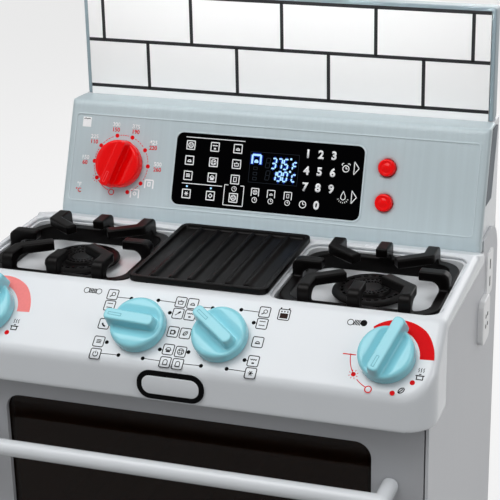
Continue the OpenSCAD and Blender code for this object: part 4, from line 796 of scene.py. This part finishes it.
def fasciaPrint(spec):
    bm = bmesh.new()
    line = spec["line"]
    columns = [
        (-49.0, 1.0, (6.2, 13.6, 25.6, 37.1, 45.0), ("bird", "heat", "fruit", "strips", "power")),
        (-5.2, 1.2, (6.1, 13.6, 25.5, 36.8, 44.8), ("pot", "knife", "cup", "pie", "loaf")),
        (2.4, 1.4, (6.3, 13.7, 25.6, 37.3, 45.0), ("dish", "grill", "leaf", "fan", "loaf")),
        (47.2, 1.1, (6.4, 13.9, 25.6, 37.5, 45.0), ("bird", "heat", "dish", "grill", "star")),
    ]
    for x, drift, rows, names in columns:  # each column drifts outwards by drift over its length
        for t, name in zip(rows, names):
            at = (x + drift * (t - rows[0]) / (rows[-1] - rows[0]), -t)
            roundBox(bm, at, spec["icon"], line, spec["iconRound"])
            picture(bm, name, at, spec["icon"] / 2 * spec["picture"], line * spec["thin"])
    # stops beside the knobs, each with a line to its icon where the two are apart
    stops = [
        (-33.5, 44.1, -44.5), (-43.1, 37.0, -44.0), (-36.6, 7.4, -46.0), (-19.5, 6.6, -8.6), (-10.1, 13.7, -8.6),
        (-9.4, 37.4, -7.6), (-18.1, 44.2, -7.2), (8.3, 36.9, 6.8), (18.1, 44.3, 6.8), (32.8, 6.6, 44.2),
        (42.3, 13.8, 44.2), (42.8, 37.5, 44.8), (33.7, 44.2, 45.2), (15.2, 7.6, 6.0),
    ]
    for x, t, end in stops:
        dot(bm, (x, -t), spec["dot"], 14)
        bar(bm, (x, -t), (end, -t - 0.2), spec["leader"])
    # the pan size marks beside the oven knobs and above the burner knobs
    for x in (-66.4, -58.4):
        ring(bm, (x, -5.2), 1.75, 0.42, steps=18)
    for k in range(5):
        bar(bm, (-64.4 + k * 1.0, -3.6), (-64.4 + k * 1.0, -6.8), 0.5)
    for t in (4.2, 5.2, 6.2):
        bar(bm, (-64.6, -t), (-60.2, -t), 0.34)
    ring(bm, (99.1, -6.5), 1.8, 0.45, steps=18)
    dot(bm, (106.9, -6.2), 2.0)
    for k in range(5):
        bar(bm, (100.9 + k * 0.9, -8.0), (101.9 + k * 0.9, -4.7), 0.55)
    # the oven sign by the right column
    roundBox(bm, (59.1, -6.6), 6.8, 0.55, 0.8)
    for x in (57.3, 59.1, 60.9):
        dot(bm, (x, -4.7), 0.5, 8)
    for x in (56.6, 61.6):
        bar(bm, (x, -3.2), (x, -2.2), 0.8)
    # leaf and steaming pot by the outer knobs
    for knobX in (-spec["knobX"], spec["knobX"]):
        picture(bm, "leaf", (knobX + 11.4, -44.0), 3.2, 0.6)
        picture(bm, "pot", (knobX + 20.2, -34.6), 3.2, 0.6)
        for k in range(3):
            x = knobX + 18.8 + k * 1.4
            strokes(bm, [(x, -32.0), (x + 0.5, -31.1), (x, -30.3), (x + 0.5, -29.4)], 0.4)
    printed("fasciaPrint", bm, fasciaFace, "inkDark")
    window = bmesh.new()
    bar(window, (56.7, -7.4), (61.5, -7.4), 3.2)
    printed("signWindow", window, fasciaFace, "inkBrown")


heatSet = {
    "inner": 18.2, "thin": 21.2, "wide": 26.4, "start": -34.0, "sweep": 121.0, "growth": 1.5, "steps": 26,
    "arc": 21.3, "arcLine": 0.5,
}


def heatMark(bm, at, spec):
    # a crescent that starts thin and ends square at three o'clock
    inner, wide = spec["inner"], spec["wide"]
    before = set(bm.verts)
    ring(bm, at, (inner + wide) / 2, wide - inner, spec["start"], spec["sweep"], spec["steps"])
    middle = Vector((at[0], at[1], 0))
    for vert in set(bm.verts) - before:
        ray = vert.co - middle
        if ray.length > (inner + wide) / 2:
            turn = degrees(atan2(ray.x, ray.y)) - spec["start"]
            reach = spec["thin"] + (wide - spec["thin"]) * min(1.0, turn / spec["sweep"] * spec["growth"])
            vert.co = middle + ray.normalized() * reach


def fasciaRed(spec):
    bm = bmesh.new()
    for knobX in (-spec["knobX"], spec["knobX"]):
        at = (knobX, spec["knobY"])
        crescent = bmesh.new()
        heatMark(crescent, at, heatSet)
        name, colour = ("heatMarkLeft", "inkPink") if knobX < 0 else ("heatMarkRight", "inkRed")
        printed(name, crescent, fasciaFace, colour)
        bar(bm, (knobX - 25.9, -26.2), (knobX - 18.2, -26.2), 0.6)
        for start, sweep, steps in ((234, 35, 8), (205, 19, 6)):
            ring(bm, at, heatSet["arc"], heatSet["arcLine"], start, sweep, steps)
        low = (knobX - 17.3, -37.9)
        dot(bm, low, 1.4)
        rays(bm, low, 2.0, 2.9, 0.38, 20, 45, 8)
        ring(bm, (knobX - 7.2, -45.7), 1.9, 0.6, steps=18)
        dot(bm, (knobX + 6.7, -46.1), 1.5)
        dot(bm, (knobX + 16.7, -38.6), 1.5)
    printed("fasciaHeatScale", bm, fasciaFace, "inkRed")


fasciaPrint(fasciaPrintSet)
fasciaRed(fasciaPrintSet)
print("fascia printed")

timerSet = {
    "middle": (-107.0, 29.7), "ring": 20.2, "dot": 1.5, "line": 0.45,
    # labels: how far out they stand, above and below the dot and beside it, their size, gap and weight
    "label": 5.6, "labelSide": 1.6, "size": 3.9, "apart": 1.8, "bold": 0.1,
    # between two dots: the bare arc at each, in degrees, then the dashes and their share of the rest
    "clear": 6.5, "dashes": 4, "dash": 0.72,
}


def timerPrint(spec):
    red, white = bmesh.new(), bmesh.new()
    middle, reach = Vector(spec["middle"]), spec["ring"]
    stops = [(-14, "300", "150"), (19, "375", "190"), (57, "425", "220"), (90, "500", "260"), (127, "", ""),
             (160, "", ""), (-54, "225", "110"), (-88, "150", "60"), (-122, "", "")]
    for angle, upper, lower in stops:
        ray = heading(90 - angle)
        dot(red, middle + ray * reach, spec["dot"], 16)
        if upper:
            x, t = middle + ray * (reach + spec["label"] + spec["labelSide"] * abs(ray.x))
            letters(white, upper, (x, t + spec["apart"]), spec["size"], spec["bold"])
            letters(red, lower, (x, t - spec["apart"]), spec["size"], spec["bold"])
    ring(red, middle + Vector((-5.2, -19.9)), 1.9, 0.6, steps=18)
    angles = sorted(s[0] for s in stops)
    for low, high in zip(angles, angles[1:]):
        step = (high - low - 2 * spec["clear"]) / spec["dashes"]
        for k in range(spec["dashes"]):
            ring(red, middle, reach, spec["line"], low + spec["clear"] + step * k, step * spec["dash"], 3)
    ring(red, middle, reach, spec["line"], -158, 30, 5)
    rays(red, middle - heading(32) * reach, 2.2, 3.2, 0.4, 115, 40, 6)
    letters(white, "°F", (-137.0, 13.2), 4.0, 0.1)
    letters(red, "°C", (-137.2, 9.2), 4.0, 0.1)
    # an oven in white, and two arches with a picture in each
    bar(white, (-139.0, 57.4), (-132.6, 57.4), 7.0)
    for (x, t), name in (((-84.6, 17.6), "door"), ((-94.6, 10.2), "spark")):
        archLine(white, x - 3.0, x + 3.0, t - 3.0, t + 2.8, 0.95)
        picture(white, name, (x, t), 2.2, 0.8)
    printed("timerMarks", red, consoleFace, "inkRed")
    printed("timerNumbers", white, consoleFace, "inkWhite")
    dark = bmesh.new()
    strokes(dark, [(-138.2, 59.4), (-136.9, 59.9), (-135.7, 59.4), (-134.5, 59.9), (-133.4, 59.4)], 0.5)
    printed("ovenSign", dark, consoleFace, "inkDark", sink=-0.05)


timerPrint(timerSet)

displaySet = {
    "icon": 5.8, "picture": 0.42, "line": 0.68, "thin": 0.8,
    # the lit figures: how far they lean and how far their bars stand apart, as a share of a bar
    "lean": 0.12, "inset": 0.35,
    "glow": 0.9,  # how far the soft blue light reaches past them
}

segmentsOf = {
    "0": "abcdef", "1": "bc", "2": "abged", "3": "abgcd", "4": "fgbc", "5": "afgcd", "6": "afgedc", "7": "abc",
    "8": "abcdefg", "9": "abcdfg", "F": "afge", "C": "afed",
}


def litFigure(bm, figure, at, width, height, line):
    w, h = width / 2, height / 2
    ends = {
        "a": ((-w, h), (w, h)), "b": ((w, h), (w, 0)), "c": ((w, 0), (w, -h)), "d": ((-w, -h), (w, -h)),
        "e": ((-w, 0), (-w, -h)), "f": ((-w, h), (-w, 0)), "g": ((-w, 0), (w, 0)),
    }
    for key in segmentsOf[figure]:
        start, end = (Vector(p) for p in ends[key])
        inset = (end - start).normalized() * line * displaySet["inset"]
        points = [(at[0] + p.x + displaySet["lean"] * p.y, at[1] + p.y) for p in (start + inset, end - inset)]
        bar(bm, *points, line)


def displayPrint(spec):
    white, blue, glow = bmesh.new(), bmesh.new(), bmesh.new()
    side, line = spec["icon"], spec["line"]
    grid = {
        47.0: ("fan", "grill", "dish"),
        36.5: ("dish", "fan", "pot"),
        26.0: ("strips", "pie", "door"),
        13.5: ("star", "spark", "fan"),
    }
    for t, row in grid.items():
        for x, name in zip((-56.5, -38.9, -22.2), row):
            boxLine(white, (x, t), side, line)
            picture(white, name, (x, t), side * spec["picture"], line * spec["thin"])
    strokes(white, [(-60.5, 52.4), (-17.5, 52.4)], 0.5)
    strokes(white, [(-60.5, 20.6), (-31.0, 20.6)], 0.5)
    picture(white, "clock", (-22.2, 19.6), 2.2, 0.4)
    boxFrame = [(-26.5, 22.0), (-29.2, 22.0), (-29.2, 8.2), (-15.2, 8.2), (-15.2, 22.0), (-17.9, 22.0)]
    strokes(white, boxFrame, 0.5)
    for x, t, name in ((-7.0, 18.6, "fan"), (4.5, 18.3, "dish"), (16.4, 18.0, "door")):
        archLine(white, x - 2.6, x + 2.6, t - 2.6, t + 2.6, 0.6)
        picture(white, name, (x, t), 2.0, 0.4)
        picture(white, "clock", (x, 13.4), 2.3, 0.45)
    rows = {47.3: "123", 35.9: "456", 25.0: "789", 13.2: " 0 "}
    for t, figures in rows.items():
        for x, figure in zip((27.7, 36.8, 46.0), figures):
            if figure != " ":
                letters(white, figure, (x, t), 7.6, 0.34)
    picture(white, "clock", (27.3, 13.3), 3.1, 0.55)
    picture(white, "clock", (54.9, 39.6), 2.9, 0.6)
    for way in (-1, 1):
        ring(white, (54.9 + way * 1.9, 42.2), 0.9, 0.5, 270 + 40 * way, 150, 6)
    for t in (40.4, 21.1):
        strokes(white, [(60.6, t - 4.3), (60.6, t + 4.3), (64.0, t), (60.6, t - 4.3)], 0.55)
    # a lamp with its rays
    strokes(white, [(54.8, 24.6), (53.3, 21.4), (53.3, 19.6), (54.8, 18.6), (56.3, 19.6), (56.3, 21.4), (54.8, 24.6)],
            0.5)
    rays(white, (54.8, 20.6), 3.2, 4.2, 0.4, 205, 22, 7)
    # the lit panel, and the soft blue light round it
    wider = 1.0 + 2 * spec["glow"]
    panel = [
        # row, the figures with their columns, their width, height and line, and the light's width and height
        (39.1, {4.4: "3", 8.6: "7", 12.8: "5"}, (2.9, 6.8, 1.0), (2.9, 6.6)),
        (30.7, {5.0: "1", 8.9: "9", 13.0: "0"}, (2.8, 6.3, 1.0), (2.9, 6.6)),
        (38.3, {19.2: "F"}, (2.7, 4.9, 0.95), (2.7, 4.8)),
        (30.2, {19.2: "C"}, (2.7, 4.7, 0.95), (2.7, 4.8)),
    ]
    for t, figures, shape, light in panel:
        for x, figure in figures.items():
            litFigure(blue, figure, (x, t), *shape)
            litFigure(glow, figure, (x, t), *light, wider)
    for at in ((16.3, 42.9), (16.3, 34.4)):
        dot(blue, at, 0.8, 10)
    archLine(blue, -11.2, -5.2, 37.8, 43.9, 1.3)
    archLine(glow, -11.2, -5.2, 37.4, 43.9, wider)
    picture(blue, "dish", (-8.2, 40.0), 2.4, 0.8)
    for x in (-56.5, -38.9):
        dot(blue, (x, 18.6), 0.7, 10)
    dim = bmesh.new()
    boxLine(dim, (4.6, 35.6), 34.6, 0.3, 20.8)
    litFigure(dim, "8", (0.2, 39.1), 2.8, 6.6, 0.5)
    litFigure(dim, "8", (0.6, 30.7), 2.8, 6.3, 0.5)
    for t in (34.8, 31.2, 27.8):
        boxLine(dim, (-8.4, t), 2.6, 0.4, 1.8)
    printed("displayMarks", white, consoleFace, "inkWhite")
    printed("displayLit", blue, consoleFace, "lcdBlue", sink=-0.06)
    printed("displayGlow", glow, consoleFace, "lcdGlow", thick=0.03)
    printed("displayFaint", dim, consoleFace, "lcdFaint", sink=-0.05)


displayPrint(displaySet)

rimSets = {
    # the moulded lip that the lens sits behind, and a fine bead round the console's face, both in a paler tint that is
    # a painted highlight along their edges
    "lensRim": {"wide": 136.4, "tall": 52.0, "middle": 30.5, "round": 6.0, "steps": 8, "across": 1.1, "proud": 0.4},
    "consoleBead": {
        "wide": 288.8, "tall": 61.7, "middle": 32.65, "round": 3.0, "steps": 6, "across": 0.9, "proud": 0.35
    },
}


def consoleRim(name, spec):
    bm = bmesh.new()
    place = moved((0, spec["middle"], 0)) @ Matrix.Diagonal((spec["wide"], spec["tall"], 1, 1))
    bmesh.ops.create_grid(bm, x_segments=1, y_segments=1, size=0.5, matrix=place)
    rounded(bm, list(bm.verts), spec["round"], spec["steps"], kind="VERTICES")
    field = list(bm.faces)
    bmesh.ops.inset_region(bm, faces=field, thickness=spec["across"], depth=0, use_boundary=True)
    bmesh.ops.delete(bm, geom=field, context="FACES_ONLY")
    printed(name, bm, consoleFace, "beadHighlightPaint", thick=spec["proud"])


for name, spec in rimSets.items():
    consoleRim(name, spec)
print("console printed")

holeSet = {
    "ventPlace": (151.2, 72.0, 275.0), "slotMiddle": 6.2, "slotHalf": 3.4, "slotWide": 2.8,
    "podPlace": (154.0, 49.0, 250.0), "across": 3, "up": 3.5, "round": 1.5, "thick": 0.04,
}


def sideHoles(spec):
    # painted shade: flat near-black sheets that stand for the dark depth seen through the vent's slots and the
    # speaker's holes
    turn = Matrix.Rotation(pi / 2, 4, "Z") @ standing
    vent, pod = bmesh.new(), bmesh.new()
    for way in (-1, 1):
        middle, half = way * spec["slotMiddle"], spec["slotHalf"]
        bar(vent, (0, middle - half), (0, middle + half), spec["slotWide"])
        for side in (-1, 1):
            dot(pod, (way * spec["across"], side * spec["up"]), spec["round"], 18)
    for name, bm, where in (("ventSlotShade", vent, spec["ventPlace"]), ("podHoleShade", pod, spec["podPlace"])):
        place = plainFace @ moved(where) @ turn
        printed(name, bm, place, "holeShadeBlack", thick=spec["thick"])


sideHoles(holeSet)

groutSet = {
    "ledge": 375.7, "first": 6.4, "tall": 33.0, "pitch": 66.1, "wide": 2.4, "gap": 0.1, "deep": 0.55, "proud": 0.06,
}


def grout(spec):
    # level lines from the ledge up, and joints between them that shift by half a tile from row to row
    low, high = (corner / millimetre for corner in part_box("tile_panel"))
    top, side, gap = high.z, high.x, spec["gap"]
    bm = bmesh.new()
    levels = []
    while (z := spec["ledge"] + spec["first"] + len(levels) * spec["tall"]) < top:
        levels.append(z)
        bar(bm, (gap - side, z), (side - gap, z), spec["wide"])
    for index, (z0, z1) in enumerate(zip(levels, levels[1:] + [top])):
        shift = 0.5 if index % 2 == 0 else 0.0
        for k in range(-4, 4):
            x = (k + shift) * spec["pitch"]
            if abs(x) < side - 1:
                bar(bm, (x, z0 + gap), (x, z1 - gap), spec["wide"])
    face = plainFace @ moved((0, low.y, 0)) @ standing
    sink = spec["deep"] - spec["proud"]
    printed("tileGrout", bm, face, "groutEnamel", thick=spec["deep"], sink=sink)


grout(groutSet)
print("tiles grouted")

floorSet = {"half": 9.0, "paint": "#858585", "lift": 0.74}


def makeFloor(spec):
    # matt grey that looks paler to the camera and in reflections than the light it throws back
    made, tree = newMaterial("paleFloor")
    path = addNode(tree, "ShaderNodeLightPath").outputs
    seen = path["Is Camera Ray"]
    for ray in ("Is Glossy Ray", "Is Transmission Ray"):
        seen = addNode(tree, "ShaderNodeMath", {"operation": "MAXIMUM"}, {0: seen, 1: path[ray]}).outputs[0]
    glow = addNode(tree, "ShaderNodeMath", {"operation": "MULTIPLY", 1: spec["lift"]}, {0: seen})
    matt = addNode(tree, "ShaderNodeBsdfDiffuse", {"Color": colourOf(spec["paint"])})
    lift = addNode(tree, "ShaderNodeEmission", {"Color": (1, 1, 1, 1)}, {"Strength": glow.outputs[0]})
    both = addNode(tree, "ShaderNodeAddShader", None, {0: matt.outputs[0], 1: lift.outputs[0]})
    addNode(tree, "ShaderNodeOutputMaterial", None, {"Surface": both.outputs[0]})
    bm = bmesh.new()
    bmesh.ops.create_grid(bm, x_segments=1, y_segments=1, size=spec["half"])
    mesh = meshOf("paleFloor", bm)
    mesh.materials.append(made)
    linked("paleFloor", mesh)


worldSet ={"fill": 0.32, "seen": 1.0}


def makeWorld(spec):
    world = bpy.data.worlds.new("paleRoom")
    world.use_nodes = True
    scene.world = world
    tree = world.node_tree
    tree.nodes.clear()
    path = addNode(tree, "ShaderNodeLightPath")
    strength = {"To Min": spec["fill"], "To Max": spec["seen"]}
    strength = addNode(tree, "ShaderNodeMapRange", strength, {"Value": path.outputs["Is Camera Ray"]})
    glow = addNode(tree, "ShaderNodeBackground", {"Color": (1, 1, 1, 1)}, {"Strength": strength.outputs["Result"]})
    addNode(tree, "ShaderNodeOutputWorld", None, {"Surface": glow.outputs[0]})


makeFloor(floorSet)
makeWorld(worldSet)
print("floor and world set")
